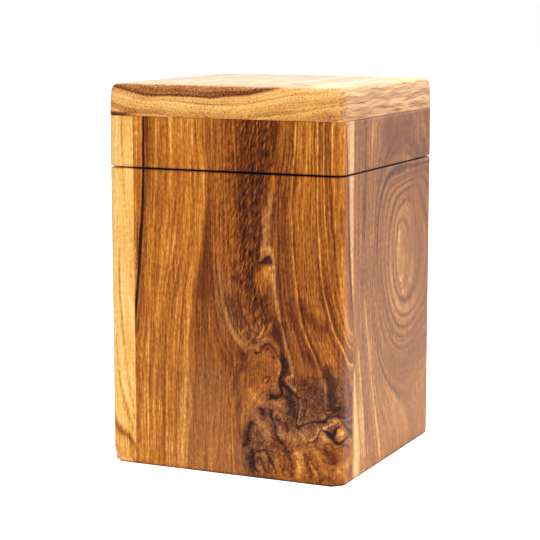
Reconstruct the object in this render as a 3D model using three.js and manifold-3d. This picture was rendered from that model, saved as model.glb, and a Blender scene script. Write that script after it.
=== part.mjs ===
// A tall square teak spice box: four boards glued round a captured base, a lid sawn from the same carcase,
// a thin lining whose top stands proud and locates the lid, and a lift-out rack that carries four brass cups.
// Millimetres, +Z up. The origin is the centre of the footprint, on the surface that the box stands on.
// +X is to the right of the front wall and +Y runs from the front wall to the back wall.
import * as THREE from "three";
import { mergeVertices } from "three/addons/utils/BufferGeometryUtils.js";
import Module from "manifold-3d";

const wasm = await Module();
wasm.setup();

// ---- Driving dimensions -------------------------------------------------------------------------------
const SIDE = 120; // outside width and depth
const HEIGHT = 182; // outside height with the lid on
const BOARD = 14; // thickness of the boards round the sides
const LID_THICKNESS = 15; // thickness of the board on top
const CORNER_RADIUS = 5; // rounding of the four upright corners
const BODY_HEIGHT = 142.5; // from the feet of the walls to the rim
const SEAM = 0.6; // gap between the body's rim and the lid's rim
const RELIEF = 0.5; // taken off the lid's inner faces, so that it slides over the lining

const BASE_LIFT = 3; // underside of the base board above the feet of the walls
const BASE_THICKNESS = 8;
const GROOVE_DEPTH = 3; // how far the base board enters each wall
const WOOD_PLAY = 0.3; // room left for the base board to swell

const LINING = 3; // thickness of the lining boards
const LIP = 12; // how far the lining stands above the body's rim
const LIP_CHAMFER = 1.2; // bevel on the lining's outer top edge
const LEDGE_WIDTH = 3;
const LEDGE_HEIGHT = 6;
const RACK_SEAT = 112; // height of the ledges' tops, where the rack rests

const RACK_THICKNESS = 9;
const RACK_PLAY = 0.5; // clearance between the rack and the lining, on each side
const CUP_SPACING = 41.2; // between the centres of neighbouring cups
const CUP_RADIUS = 16.6; // outside of the cup, under its flange
const CUP_FOOT_RADIUS = 12.5;
const CUP_DEPTH = 44; // from the foot to the underside of the flange
const CUP_WALL = 1;
const FLANGE_RADIUS = 19.6;
const FLANGE_THICKNESS = 1.4;
const HOLE_RADIUS = 17.4; // holes that the cups drop into

const KNOB_HEIGHT = 15;
const SCREW_RADIUS = 2;
const SCREW_CLEARANCE = 0.4; // round the screw, in the rack and in the knob

const ROUND_STEPS = 32; // segments of a turned piece or a round hole
const CORNER_STEPS = 8; // segments of one rounded corner

// ---- Worked out from them -----------------------------------------------------------------------------
const HALF = SIDE / 2;
const INSIDE = HALF - BOARD; // half width inside the walls
const LINED = INSIDE - LINING; // half width inside the lining
const LID_BOTTOM = BODY_HEIGHT + SEAM;
const LID_CEILING = HEIGHT - LID_THICKNESS;
const BASE_TOP = BASE_LIFT + BASE_THICKNESS;
const RACK_TOP = RACK_SEAT + RACK_THICKNESS;

// ---- Materials ----------------------------------------------------------------------------------------
const teak = new THREE.MeshStandardMaterial({ color: 0xa9672f, roughness: 0.38, metalness: 0 });
const lidTeak = new THREE.MeshStandardMaterial({ color: 0xd09a58, roughness: 0.45, metalness: 0 });
const liningWood = new THREE.MeshStandardMaterial({ color: 0xd9b27c, roughness: 0.55, metalness: 0 });
const brass = new THREE.MeshStandardMaterial({ color: 0xd9ac52, roughness: 0.25, metalness: 1 });

// ---- Small helpers ------------------------------------------------------------------------------------
function namedMesh(name, geometry, material) {
  const mesh = new THREE.Mesh(geometry, material);
  mesh.name = name;
  return mesh;
}

// An axis-aligned block between two corners.
function block(low, high) {
  const size = new THREE.Vector3().subVectors(high, low);
  const centre = new THREE.Vector3().addVectors(low, high).multiplyScalar(0.5);
  return new THREE.BoxGeometry(size.x, size.y, size.z).translate(centre.x, centre.y, centre.z);
}

// A flat outline in X and Y, extruded upwards from height z.
function slab(outline, z, thickness) {
  const options = { depth: thickness, bevelEnabled: false, curveSegments: CORNER_STEPS };
  return new THREE.ExtrudeGeometry(outline, options).translate(0, 0, z);
}

// A profile of [radius, height] pairs turned about +Z.
function turned(profile) {
  const points = profile.map(([radius, height]) => new THREE.Vector2(radius, height));
  return new THREE.LatheGeometry(points, ROUND_STEPS).rotateX(Math.PI / 2);
}

function toSolid(geometry) {
  const bare = (geometry.index ? geometry.toNonIndexed() : geometry.clone());
  bare.deleteAttribute("normal");
  bare.deleteAttribute("uv");
  const merged = mergeVertices(bare, 1e-4);
  const vertProperties = merged.getAttribute("position").array;
  const triVerts = new Uint32Array(merged.index.array);
  return new wasm.Manifold(new wasm.Mesh({ numProp: 3, vertProperties, triVerts }));
}

// The first geometry with the second one cut away.
function cut(geometry, tool) {
  const mesh = toSolid(geometry).subtract(toSolid(tool)).getMesh();
  const made = new THREE.BufferGeometry();
  made.setAttribute("position", new THREE.BufferAttribute(mesh.vertProperties, 3));
  made.setIndex(new THREE.BufferAttribute(mesh.triVerts, 1));
  return made;
}

// ---- Outlines -----------------------------------------------------------------------------------------
// The front wall from above. Each wall covers the end of the next one, pinwheel fashion, so the four walls
// are alike: this one starts against the left wall and ends in the rounded corner at the front right.
function wallOutline() {
  const arcCentre = HALF - CORNER_RADIUS;
  const outline = new THREE.Shape();
  outline.moveTo(-INSIDE, -HALF);
  outline.lineTo(arcCentre, -HALF);
  outline.absarc(arcCentre, -arcCentre, CORNER_RADIUS, -Math.PI / 2, 0, false);
  outline.lineTo(HALF, -INSIDE);
  outline.lineTo(-INSIDE, -INSIDE);
  outline.closePath();
  return outline;
}

function lidTopOutline() {
  const arcCentre = HALF - CORNER_RADIUS;
  const outline = new THREE.Shape();
  outline.absarc(arcCentre, -arcCentre, CORNER_RADIUS, -Math.PI / 2, 0, false);
  outline.absarc(arcCentre, arcCentre, CORNER_RADIUS, 0, Math.PI / 2, false);
  outline.absarc(-arcCentre, arcCentre, CORNER_RADIUS, Math.PI / 2, Math.PI, false);
  outline.absarc(-arcCentre, -arcCentre, CORNER_RADIUS, Math.PI, 1.5 * Math.PI, false);
  outline.closePath();
  return outline;
}

// ---- Outer boards -------------------------------------------------------------------------------------
const QUARTERS = ["front", "right", "back", "left"]; // each a quarter turn on from the one before

// A wall with the stopped groove that holds the base board.
function wallGeometry() {
  const reach = INSIDE + GROOVE_DEPTH;
  const groove = block(
    new THREE.Vector3(-reach, -reach, BASE_LIFT),
    new THREE.Vector3(reach, reach, BASE_TOP),
  );
  return cut(slab(wallOutline(), 0, BODY_HEIGHT), groove);
}

// The same board above the saw cut, relieved inside so that it slides over the lining.
function lidRimGeometry() {
  const reach = INSIDE + RELIEF;
  const relief = block(
    new THREE.Vector3(-reach, -reach, LID_BOTTOM - 1),
    new THREE.Vector3(reach, reach, LID_CEILING + 1),
  );
  return cut(slab(wallOutline(), LID_BOTTOM, LID_CEILING - LID_BOTTOM), relief);
}

// Four copies of one board, each a quarter turn on from the last.
function pinwheel(prefix, geometry, material) {
  return QUARTERS.map((quarter, turns) => {
    const board = namedMesh(`${prefix}_${quarter}`, geometry, material);
    board.rotation.z = (turns * Math.PI) / 2;
    return board;
  });
}

function baseBoard() {
  const reach = INSIDE + GROOVE_DEPTH - WOOD_PLAY;
  const low = new THREE.Vector3(-reach, -reach, BASE_LIFT);
  const high = new THREE.Vector3(reach, reach, BASE_TOP);
  return namedMesh("base_board", block(low, high), teak);
}

function lidTop() {
  return namedMesh("lid_top", slab(lidTopOutline(), LID_CEILING, LID_THICKNESS), lidTeak);
}

// ---- Lining and ledges --------------------------------------------------------------------------------
// A lining board that stands on the base against the front wall, bevelled along its outer top edge.
function liningGeometry(length) {
  const height = BODY_HEIGHT + LIP - BASE_TOP;
  const profile = new THREE.Shape();
  profile.moveTo(0, 0);
  profile.lineTo(LINING, 0);
  profile.lineTo(LINING, height);
  profile.lineTo(LIP_CHAMFER, height);
  profile.lineTo(0, height - LIP_CHAMFER);
  profile.closePath();
  const board = new THREE.ExtrudeGeometry(profile, { depth: length, bevelEnabled: false });
  const alongX = new THREE.Matrix4().makeBasis(
    new THREE.Vector3(0, 1, 0),
    new THREE.Vector3(0, 0, 1),
    new THREE.Vector3(1, 0, 0),
  );
  return board.applyMatrix4(alongX).translate(-length / 2, -INSIDE, BASE_TOP);
}

// The front and back lining boards run the full width, and the side ones fit between them.
function lining() {
  return QUARTERS.map((quarter, turns) => {
    const length = turns % 2 === 0 ? 2 * INSIDE : 2 * LINED;
    const board = namedMesh(`lining_${quarter}`, liningGeometry(length), liningWood);
    board.rotation.z = (turns * Math.PI) / 2;
    return board;
  });
}

// Strips glued to the side linings, which the rack rests on.
function ledges() {
  return [-1, 1].map((side) => {
    const inner = side * (LINED - LEDGE_WIDTH);
    const outer = side * LINED;
    const low = new THREE.Vector3(Math.min(inner, outer), -LINED, RACK_SEAT - LEDGE_HEIGHT);
    const high = new THREE.Vector3(Math.max(inner, outer), LINED, RACK_SEAT);
    return namedMesh(side < 0 ? "ledge_left" : "ledge_right", block(low, high), liningWood);
  });
}

// ---- Rack, knob and cups ------------------------------------------------------------------------------
const CUP_PLACES = [
  ["cup_front_left", -1, -1],
  ["cup_front_right", 1, -1],
  ["cup_back_right", 1, 1],
  ["cup_back_left", -1, 1],
];

function roundHole(x, y, radius, steps) {
  const hole = new THREE.Path();
  for (let i = 0; i < steps; i += 1) {
    const angle = (-2 * Math.PI * i) / steps;
    const px = x + radius * Math.cos(angle);
    const py = y + radius * Math.sin(angle);
    if (i === 0) hole.moveTo(px, py);
    else hole.lineTo(px, py);
  }
  hole.closePath();
  return hole;
}

// A board that drops between the linings, with a hole for each cup and one for the knob's screw.
function cupRack() {
  const reach = LINED - RACK_PLAY;
  const outline = new THREE.Shape();
  outline.moveTo(-reach, -reach);
  outline.lineTo(reach, -reach);
  outline.lineTo(reach, reach);
  outline.lineTo(-reach, reach);
  outline.closePath();
  for (const [, sx, sy] of CUP_PLACES) {
    outline.holes.push(roundHole((sx * CUP_SPACING) / 2, (sy * CUP_SPACING) / 2, HOLE_RADIUS, ROUND_STEPS));
  }
  outline.holes.push(roundHole(0, 0, SCREW_RADIUS + SCREW_CLEARANCE, ROUND_STEPS / 2));
  return namedMesh("cup_rack", slab(outline, RACK_SEAT, RACK_THICKNESS), teak);
}

// A turned brass knob with a blind hole in its foot for the screw.
function rackKnob() {
  const bore = SCREW_RADIUS + SCREW_CLEARANCE;
  const profile = [
    [0, 8.5],
    [bore, 8.5],
    [bore, 0],
    [5.6, 0],
    [5.6, 1.2],
    [3.7, 2.6],
    [3.4, 4.6],
    [4.4, 6.2],
    [6.2, 8.0],
    [7.0, 10.4],
    [6.4, 12.8],
    [4.4, 14.4],
    [0, KNOB_HEIGHT],
  ];
  return namedMesh("rack_knob", turned(profile).translate(0, 0, RACK_TOP), brass);
}

// The screw that comes up through the rack into the knob.
function knobScrew() {
  const headRadius = 4;
  const headHeight = 2;
  const reach = RACK_THICKNESS + 8;
  const profile = [
    [0, -headHeight],
    [headRadius * 0.7, -headHeight],
    [headRadius, -headHeight * 0.4],
    [headRadius, 0],
    [SCREW_RADIUS, 0],
    [SCREW_RADIUS, reach - 1],
    [SCREW_RADIUS * 0.5, reach],
    [0, reach],
  ];
  return namedMesh("knob_screw", turned(profile).translate(0, 0, RACK_SEAT), brass);
}

// A spun brass cup that hangs in the rack by its flange.
function cupGeometry() {
  const rim = CUP_DEPTH + FLANGE_THICKNESS;
  const footCurve = 3;
  const profile = [
    [0, 0],
    [CUP_FOOT_RADIUS - footCurve, 0],
    [CUP_FOOT_RADIUS - footCurve * 0.3, footCurve * 0.3],
    [CUP_FOOT_RADIUS, footCurve],
    [CUP_RADIUS, CUP_DEPTH],
    [FLANGE_RADIUS - 0.4, CUP_DEPTH],
    [FLANGE_RADIUS, CUP_DEPTH + FLANGE_THICKNESS / 2],
    [FLANGE_RADIUS - 0.4, rim],
    [CUP_RADIUS - CUP_WALL + 0.5, rim],
    [CUP_RADIUS - CUP_WALL, rim - 0.8],
    [CUP_FOOT_RADIUS - CUP_WALL, footCurve],
    [CUP_FOOT_RADIUS - footCurve, CUP_WALL],
    [0, CUP_WALL],
  ];
  return turned(profile);
}

function cups() {
  const geometry = cupGeometry();
  return CUP_PLACES.map(([name, sx, sy]) => {
    const cup = namedMesh(name, geometry, brass);
    cup.position.set((sx * CUP_SPACING) / 2, (sy * CUP_SPACING) / 2, RACK_TOP - CUP_DEPTH);
    return cup;
  });
}

// ---- Assembly -----------------------------------------------------------------------------------------
const body = new THREE.Group();
body.add(...pinwheel("wall", wallGeometry(), teak), baseBoard(), ...lining(), ...ledges());

const lid = new THREE.Group();
lid.add(...pinwheel("lid_rim", lidRimGeometry(), teak), lidTop());

const rack = new THREE.Group();
rack.add(cupRack(), rackKnob(), knobScrew(), ...cups());

const spiceBox = new THREE.Group();
spiceBox.add(body, lid, rack);

export default spiceBox;
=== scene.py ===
# %% [markdown]
# # A tall teak spice box with a lift-off lid
#
# The box is four thick teak boards glued round a base, with a lid sawn off the same carcase, so that the
# grain runs on across the saw cut. Inside are a thin pale lining, a lift-out rack and four brass cups.
# This lesson builds the finished look of each piece round a working model that is already made: the
# frame. Its nodes say where every piece is and which pieces move together, so nothing here has to be
# measured twice.

# %% Load the working model
import math
import bmesh
import bpy
import numpy as np
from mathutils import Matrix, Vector


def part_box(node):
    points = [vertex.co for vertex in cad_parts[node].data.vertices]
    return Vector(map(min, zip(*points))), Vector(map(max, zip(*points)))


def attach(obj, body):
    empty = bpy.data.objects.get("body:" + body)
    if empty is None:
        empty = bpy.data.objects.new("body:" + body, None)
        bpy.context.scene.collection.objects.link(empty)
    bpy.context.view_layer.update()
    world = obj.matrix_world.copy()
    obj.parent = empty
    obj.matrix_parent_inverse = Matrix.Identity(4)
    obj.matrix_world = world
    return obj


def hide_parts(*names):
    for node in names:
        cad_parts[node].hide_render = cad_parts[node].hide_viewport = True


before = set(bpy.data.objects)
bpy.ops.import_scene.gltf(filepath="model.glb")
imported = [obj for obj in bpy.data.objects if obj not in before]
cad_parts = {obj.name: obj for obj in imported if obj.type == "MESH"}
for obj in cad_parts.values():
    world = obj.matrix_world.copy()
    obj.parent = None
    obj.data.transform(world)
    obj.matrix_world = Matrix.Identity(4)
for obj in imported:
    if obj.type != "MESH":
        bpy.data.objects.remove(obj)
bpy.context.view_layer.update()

# %% [markdown]
# ## Sizes
#
# Blender works in metres, and a cabinet maker thinks in millimetres. Each size is read from a node of the
# frame in millimetres, and `MM` turns it back when a mesh is made. Only two values are not in the frame's
# boxes: the rounding of the upright corners and the depth of the base board's groove.

# %% Read the sizes from the frame
MM = 0.001


def corners(node):
    """The lowest and highest corners of a node, in millimetres."""
    low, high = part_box(node)
    return Vector(low) / MM, Vector(high) / MM


wall_high = corners("wall_front")[1]
rim_low, rim_high = corners("lid_rim_front")
top_high = corners("lid_top")[1]
base_low, base_high = corners("base_board")

HALF = wall_high.x  # half the outside width
INSIDE = -wall_high.y  # half the width inside the walls
RELIEVED = -rim_high.y + 0.5  # half the width inside the lid's rim
BODY_HEIGHT = wall_high.z
LID_BOTTOM = rim_low.z
LID_CEILING = rim_high.z
HEIGHT = top_high.z
CORNER_RADIUS = 5.0
GROOVE_DEPTH = 3.0
print(f"box {2 * HALF:.0f} mm wide, {HEIGHT:.0f} mm high, boards {HALF - INSIDE:.0f} mm thick")

# %% [markdown]
# ## The camera
#
# A long lens keeps the upright edges nearly parallel, as the eye sees them when the box is almost a metre
# away. The camera stands to the right of the front wall and slightly above the box. It could be placed by
# three coordinates, but two angles and a distance from the point that it looks at are easier to adjust.

# %% Place the camera
CAMERA_YAW = math.radians(24.535)
CAMERA_PITCH = math.radians(8.876)
CAMERA_DISTANCE = 0.88257
CAMERA_LENS = 119.22  # in millimetres, as on the barrel of the lens
SENSOR_WIDTH = 36
AIM_HEIGHT = 0.08863
AIM_SIDEWAYS = -0.00258


def make_camera():
    across = Vector((math.cos(CAMERA_YAW), math.sin(CAMERA_YAW), 0))
    back = Vector((
        math.sin(CAMERA_YAW) * math.cos(CAMERA_PITCH),
        -math.cos(CAMERA_YAW) * math.cos(CAMERA_PITCH),
        math.sin(CAMERA_PITCH),
    ))
    camera = bpy.data.objects.new("camera", bpy.data.cameras.new("camera"))
    camera.data.lens = CAMERA_LENS
    camera.data.sensor_width = SENSOR_WIDTH
    camera.location = across * AIM_SIDEWAYS + Vector((0, 0, AIM_HEIGHT)) + back * CAMERA_DISTANCE
    camera.rotation_mode = "QUATERNION"
    camera.rotation_quaternion = (-back).to_track_quat("-Z", "Y")
    bpy.context.scene.collection.objects.link(camera)
    bpy.context.scene.camera = camera
    return camera


camera = make_camera()
print("camera at", tuple(round(v, 3) for v in camera.location))

# %% [markdown]
# ## The studio
#
# The box stands in a white sweep. Satin wood mirrors whatever it faces: the right wall and the top turn
# towards the bright back of the studio at a low angle and go milky, while the front wall faces the dim
# room and keeps its deep colour. So the surroundings are white behind the box and dim in front. A big
# soft lamp in front of the box lights the front wall, a weaker one fills the right wall, and a third
# hangs above the lid.

# %% Nodes are made by short helpers
def new_tree(owner):
    owner.use_nodes = True
    owner.node_tree.nodes.clear()
    return owner.node_tree


def put(tree, socket, value):
    """Link a socket to another, or set its own value."""
    if isinstance(value, bpy.types.NodeSocket):
        tree.links.new(value, socket)
    else:
        socket.default_value = value


def node(tree, kind, settings=None, **inputs):
    made = tree.nodes.new(kind)
    for key, value in (settings or {}).items():
        setattr(made, key, value)
    for key, value in inputs.items():
        put(tree, made.inputs[key.replace("_", " ")], value)
    return made


def maths(tree, operation, first, second=0.0, clamp=False):
    made = tree.nodes.new("ShaderNodeMath")
    made.operation = operation
    made.use_clamp = clamp
    put(tree, made.inputs[0], first)
    put(tree, made.inputs[1], second)
    return made.outputs[0]


def spread(tree, value, low, high, to_low=0.0, to_high=1.0, smooth=True):
    """Stretch the range low..high onto to_low..to_high."""
    made = tree.nodes.new("ShaderNodeMapRange")
    made.interpolation_type = "SMOOTHSTEP" if smooth else "LINEAR"
    for name, number in (("From Min", low), ("From Max", high), ("To Min", to_low), ("To Max", to_high)):
        put(tree, made.inputs[name], number)
    put(tree, made.inputs["Value"], value)
    return made.outputs["Result"]


# %% Make the studio
ROOM_GLOW, BACK_GLOW = 0.16, 2.6  # strength of the light from in front of the box and from behind it
GLOW_STARTS, GLOW_FULL = 0.35, 0.85  # where the back begins, as the backward part of a direction
FLOOR_SIZE = 12.0
FLOOR_DIM, FLOOR_WHITE = 0.10, 0.9  # how much light the floor gives back in front of the box and behind it
DIM_BEFORE, WHITE_FROM = -0.9, -0.05  # where the floor changes from one to the other, in metres
FLOOR_GLOW = 0.8


def make_surroundings():
    world = bpy.data.worlds.new("white_studio")
    bpy.context.scene.world = world
    tree = new_tree(world)
    direction = tree.nodes.new("ShaderNodeTexCoord").outputs["Generated"]
    parts = node(tree, "ShaderNodeSeparateXYZ", Vector=direction)
    glow = spread(tree, parts.outputs["Y"], GLOW_STARTS, GLOW_FULL, ROOM_GLOW, BACK_GLOW)
    light = node(tree, "ShaderNodeBackground", Color=(1, 0.995, 0.985, 1), Strength=glow)
    seen = node(tree, "ShaderNodeBackground", Color=(1, 1, 1, 1), Strength=1.0)
    ray = tree.nodes.new("ShaderNodeLightPath").outputs["Is Camera Ray"]
    mix = tree.nodes.new("ShaderNodeMixShader")
    put(tree, mix.inputs[0], ray)
    put(tree, mix.inputs[1], light.outputs[0])
    put(tree, mix.inputs[2], seen.outputs[0])
    output = tree.nodes.new("ShaderNodeOutputWorld")
    put(tree, output.inputs["Surface"], mix.outputs[0])


def make_lamp(name, place, aim, size, power, colour):
    lamp = bpy.data.objects.new(name, bpy.data.lights.new(name, "AREA"))
    lamp.data.shape = "RECTANGLE"
    lamp.data.size = size[0]
    lamp.data.size_y = size[1]
    lamp.data.energy = power
    lamp.data.color = colour
    lamp.location = place
    toward = Vector(aim) - Vector(place)
    lamp.rotation_mode = "QUATERNION"
    lamp.rotation_quaternion = toward.to_track_quat("-Z", "Y")
    bpy.context.scene.collection.objects.link(lamp)
    return lamp


def make_floor():
    half = FLOOR_SIZE / 2
    mesh = bpy.data.meshes.new("studio_floor")
    square = [(-half, -half, 0), (half, -half, 0), (half, half, 0), (-half, half, 0)]
    mesh.from_pydata(square, [], [(0, 1, 2, 3)])
    floor = bpy.data.objects.new("studio_floor", mesh)
    bpy.context.scene.collection.objects.link(floor)
    white = bpy.data.materials.new("white_sweep")
    tree = new_tree(white)
    ray = tree.nodes.new("ShaderNodeLightPath").outputs["Is Camera Ray"]
    place = tree.nodes.new("ShaderNodeTexCoord").outputs["Object"]
    parts = node(tree, "ShaderNodeSeparateXYZ", Vector=place)
    bounce = spread(tree, parts.outputs["Y"], DIM_BEFORE, WHITE_FROM, FLOOR_DIM, FLOOR_WHITE)
    albedo = maths(tree, "MAXIMUM", bounce, ray)
    white_level = node(tree, "ShaderNodeCombineColor", Red=albedo, Green=albedo, Blue=albedo)
    shade = node(
        tree, "ShaderNodeBsdfPrincipled",
        Base_Color=white_level.outputs[0], Roughness=0.9, Emission_Color=(1, 1, 1, 1),
        Emission_Strength=maths(tree, "MULTIPLY", ray, FLOOR_GLOW),
    )
    output = tree.nodes.new("ShaderNodeOutputMaterial")
    put(tree, output.inputs["Surface"], shade.outputs[0])
    mesh.materials.append(white)


bpy.context.scene.view_settings.view_transform = "Standard"
make_surroundings()
make_floor()
AIM = (0, 0, 0.09)
make_lamp("front_softbox", (0.25, -1.4, 0.9), AIM, (0.9, 0.9), 18.5, (1, 0.985, 0.96))
make_lamp("right_fill", (1.5, -0.4, 0.7), AIM, (0.9, 0.9), 6.0, (1, 0.99, 0.98))
make_lamp("overhead", (0.0, 0.2, 1.4), AIM, (1.0, 1.0), 16.0, (1, 1, 1))
print("studio ready")

# %% [markdown]
# ## Drawing the figure of a board
#
# What makes this box is the figure of its front board: straight golden grain on the left, a dark
# feathered stripe, a pale flame beside it and a burl that swirls at the bottom right. Noise alone never
# draws that. So the figure is drawn first, in millimetres across and up the board, with two kinds of
# mark:
#
# * a **guide** is a grain line. A field is stretched smoothly between all the guides, like the height of
#   a tent between its poles, and its level lines become the growth rings. Noise that is read along this
#   field makes streaks which follow the guides, round the knots too.
# * a **stroke** is a lighter or darker mark with a soft edge, wide or narrow, along a few points.
#
# Both are worked out at every point of the mesh and stored there as attributes, and the wood material
# reads them. A painted picture could do the same, but a drawing in millimetres stays sharp at any size
# and can be changed line by line.

# %% Helpers for paths and soft clouds
def smooth_path(points, steps=6):
    """Catmull-Rom curve through the points; every column (place, width) is smoothed alike."""
    spots = np.array(points, float)
    if len(spots) < 3:
        return spots
    padded = np.vstack([2 * spots[0] - spots[1], spots, 2 * spots[-1] - spots[-2]])
    made = []
    for i in range(1, len(padded) - 2):
        a, b, c, d = padded[i - 1:i + 3]
        for t in np.arange(steps) / steps:
            made.append(0.5 * (2 * b + (c - a) * t + (2 * a - 5 * b + 4 * c - d) * t**2
                               + (3 * b - a - 3 * c + d) * t**3))
    made.append(spots[-1])
    return np.array(made)


FAR_AWAY = 1e6
NARROWEST = 0.05


def reach_of_path(across, up, path):
    """Distance to a path in units of its half-width, the nearest piece winning."""
    nearest = np.full(across.shape, FAR_AWAY)
    for start, end in zip(path, path[1:]):
        run = end[:2] - start[:2]
        length = max(run @ run, 1e-9)
        along = np.clip(((across - start[0]) * run[0] + (up - start[1]) * run[1]) / length, 0, 1)
        width = start[2] + (end[2] - start[2]) * along
        gap = np.hypot(across - start[0] - along * run[0], up - start[1] - along * run[1])
        nearest = np.minimum(nearest, gap / np.maximum(width, NARROWEST))
    return nearest


CLOUD_SIDE = 64


def cloud(across, up, size, seed):
    """Smooth random values between -1 and 1 that change over about `size` millimetres."""
    table = np.random.default_rng(seed).uniform(-1, 1, (CLOUD_SIDE, CLOUD_SIDE))
    u = across / size + 17.3
    v = up / size + 5.1
    left, foot = np.floor(u).astype(int), np.floor(v).astype(int)
    fu, fv = u - left, v - foot
    fu, fv = fu * fu * (3 - 2 * fu), fv * fv * (3 - 2 * fv)
    i, j = left % CLOUD_SIDE, foot % CLOUD_SIDE
    next_i, next_j = (left + 1) % CLOUD_SIDE, (foot + 1) % CLOUD_SIDE
    low = table[i, j] * (1 - fu) + table[next_i, j] * fu
    high = table[i, next_j] * (1 - fu) + table[next_i, next_j] * fu
    return low * (1 - fv) + high * fv


# %% The two kinds of mark
FIELD_STEP = 1.5  # spacing of the grid that the field is stretched on, in millimetres
FIELD_LOW = (-48.0, -3.0)  # the grid's lower left corner
FIELD_COUNT = (84, 116)
FIELD_PASSES = 900  # rounds of stretching
FIELD_SOFTENING = 6  # passes that round off the steps which the grid leaves along the guides
ON_LINE = 0.75 * FIELD_STEP  # a grid point this near to a guide is held at its label


def mean_of_four(value, mode, **settings):
    """The mean of each grid point's four neighbours."""
    padded = np.pad(value, 1, mode=mode, **settings)
    return (padded[2:, 1:-1] + padded[:-2, 1:-1] + padded[1:-1, 2:] + padded[1:-1, :-2]) / 4


def stretch_field(guides):
    """A field that holds each guide's label along it and is as smooth as can be between them."""
    held = np.zeros(FIELD_COUNT, bool)
    value = np.zeros(FIELD_COUNT)
    first_guess = np.zeros(FIELD_COUNT)
    weight = np.zeros(FIELD_COUNT)
    columns, rows = np.indices(FIELD_COUNT)
    across = FIELD_LOW[0] + FIELD_STEP * columns
    up = FIELD_LOW[1] + FIELD_STEP * rows
    for label, points in guides:
        path = smooth_path([(x, z, 1.0) for x, z in points], 12)
        near = reach_of_path(across, up, path)
        share = 1 / (near + 0.3) ** 3
        first_guess += label * share
        weight += share
        on_line = near < ON_LINE
        held |= on_line
        value[on_line] = label
    value = np.where(held, value, first_guess / weight)
    for _ in range(FIELD_PASSES):
        value = np.where(held, value, mean_of_four(value, "edge"))
    for _ in range(FIELD_SOFTENING):
        value = mean_of_four(value, "reflect", reflect_type="odd")
    return value


def read_field(value, across, up):
    """The field at any place, read between the four grid points round it."""
    u = np.clip((across - FIELD_LOW[0]) / FIELD_STEP, 0, FIELD_COUNT[0] - 1.001)
    v = np.clip((up - FIELD_LOW[1]) / FIELD_STEP, 0, FIELD_COUNT[1] - 1.001)
    i, j = u.astype(int), v.astype(int)
    fu, fv = u - i, v - j
    low = value[i, j] * (1 - fu) + value[i + 1, j] * fu
    high = value[i, j + 1] * (1 - fu) + value[i + 1, j + 1] * fu
    return low * (1 - fv) + high * fv


def paint(across, up, strokes, hardness=4):
    """Sum of strokes: each adds its amount inside its half-width and fades out beyond it."""
    painted = np.zeros(across.shape)
    for amount, points in strokes:
        near = reach_of_path(across, up, smooth_path(points))
        painted += amount / (1 + near**hardness)
    return painted


# %% [markdown]
# ### The front board
#
# Distances across run from the middle of the front wall to the right, and go on round the rounded corner
# onto the right side. Heights start at the table. The main grain lines come first, as points from the top
# down, because both the guides and some of the strokes follow them. Their labels count millimetres across
# the rings, so one ring is as wide as it is on the real board. Round a knot a guide closes on itself.

# %% The front board's grain lines
LIGHT_BAND = [(-12, 167), (-9.5, 150), (-8.3, 141), (-8.6, 130), (-10.5, 115), (-13, 103), (-15.2, 90),
              (-17, 75), (-18.5, 60), (-19.6, 40), (-21, 20), (-22.5, 0)]
DARK_STRAIGHT = [(-17.5, 167), (-18, 142), (-19, 125), (-21.5, 108), (-25.5, 92), (-28, 80), (-30, 60),
                 (-30.5, 40), (-31, 0)]
WAVE_EDGE = [(-3, 167), (-4, 140), (-4, 122), (-3.2, 108), (-1.8, 92), (-0.5, 82), (1.6, 74.5), (3.5, 69),
             (6, 64.8), (8.5, 62), (11.5, 60.6), (15, 59.8), (17.6, 59.2), (19.6, 60.3), (21.4, 62.4),
             (23.6, 63.6), (25.6, 62.6), (27.4, 60), (29.2, 57.2), (30.2, 53), (30.1, 47), (29.6, 42)]
PALE_VEIN = [
    (32, 167), (31, 156), (29.6, 146), (27.4, 141), (26.2, 133), (26, 122), (26, 110), (26.4, 100),
    (26.6, 92), (28, 83), (29.6, 76), (31.4, 69), (33.2, 61.5), (35, 54.5), (36, 50.5),
]
RIGHT_LINE = [
    (37, 167), (36, 150), (35, 138), (34.8, 125), (35.5, 115), (36.2, 105), (37.2, 94), (38.6, 84),
    (41, 72.5), (44, 66), (47.4, 59.5), (50, 54), (51.4, 49), (51.6, 40),
]
OUTER_LINE = [
    (48, 167), (47.8, 140), (48.3, 120), (49.3, 105), (50.6, 92), (53, 82), (56.5, 71), (61, 62),
    (66, 55),
]
BLACK_VEIN = [(-40.3, 167), (-40.5, 150), (-40.8, 135), (-41.8, 118), (-43, 103), (-44, 90), (-45.2, 78),
              (-46.4, 64)]


def ring_round(x, z, radius, widen=1.0, turns=10):
    """A closed grain line round a knot."""
    angles = [2 * math.pi * i / turns for i in range(turns + 1)]
    return [(x + radius * widen * math.cos(a), z + radius * math.sin(a)) for a in angles]


def with_width(path, *widths):
    """Give every point of a path a half-width, changing evenly through the widths given."""
    places = np.linspace(0, 1, len(widths))
    return [(x, z, float(np.interp(i / (len(path) - 1), places, widths))) for i, (x, z) in enumerate(path)]


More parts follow.
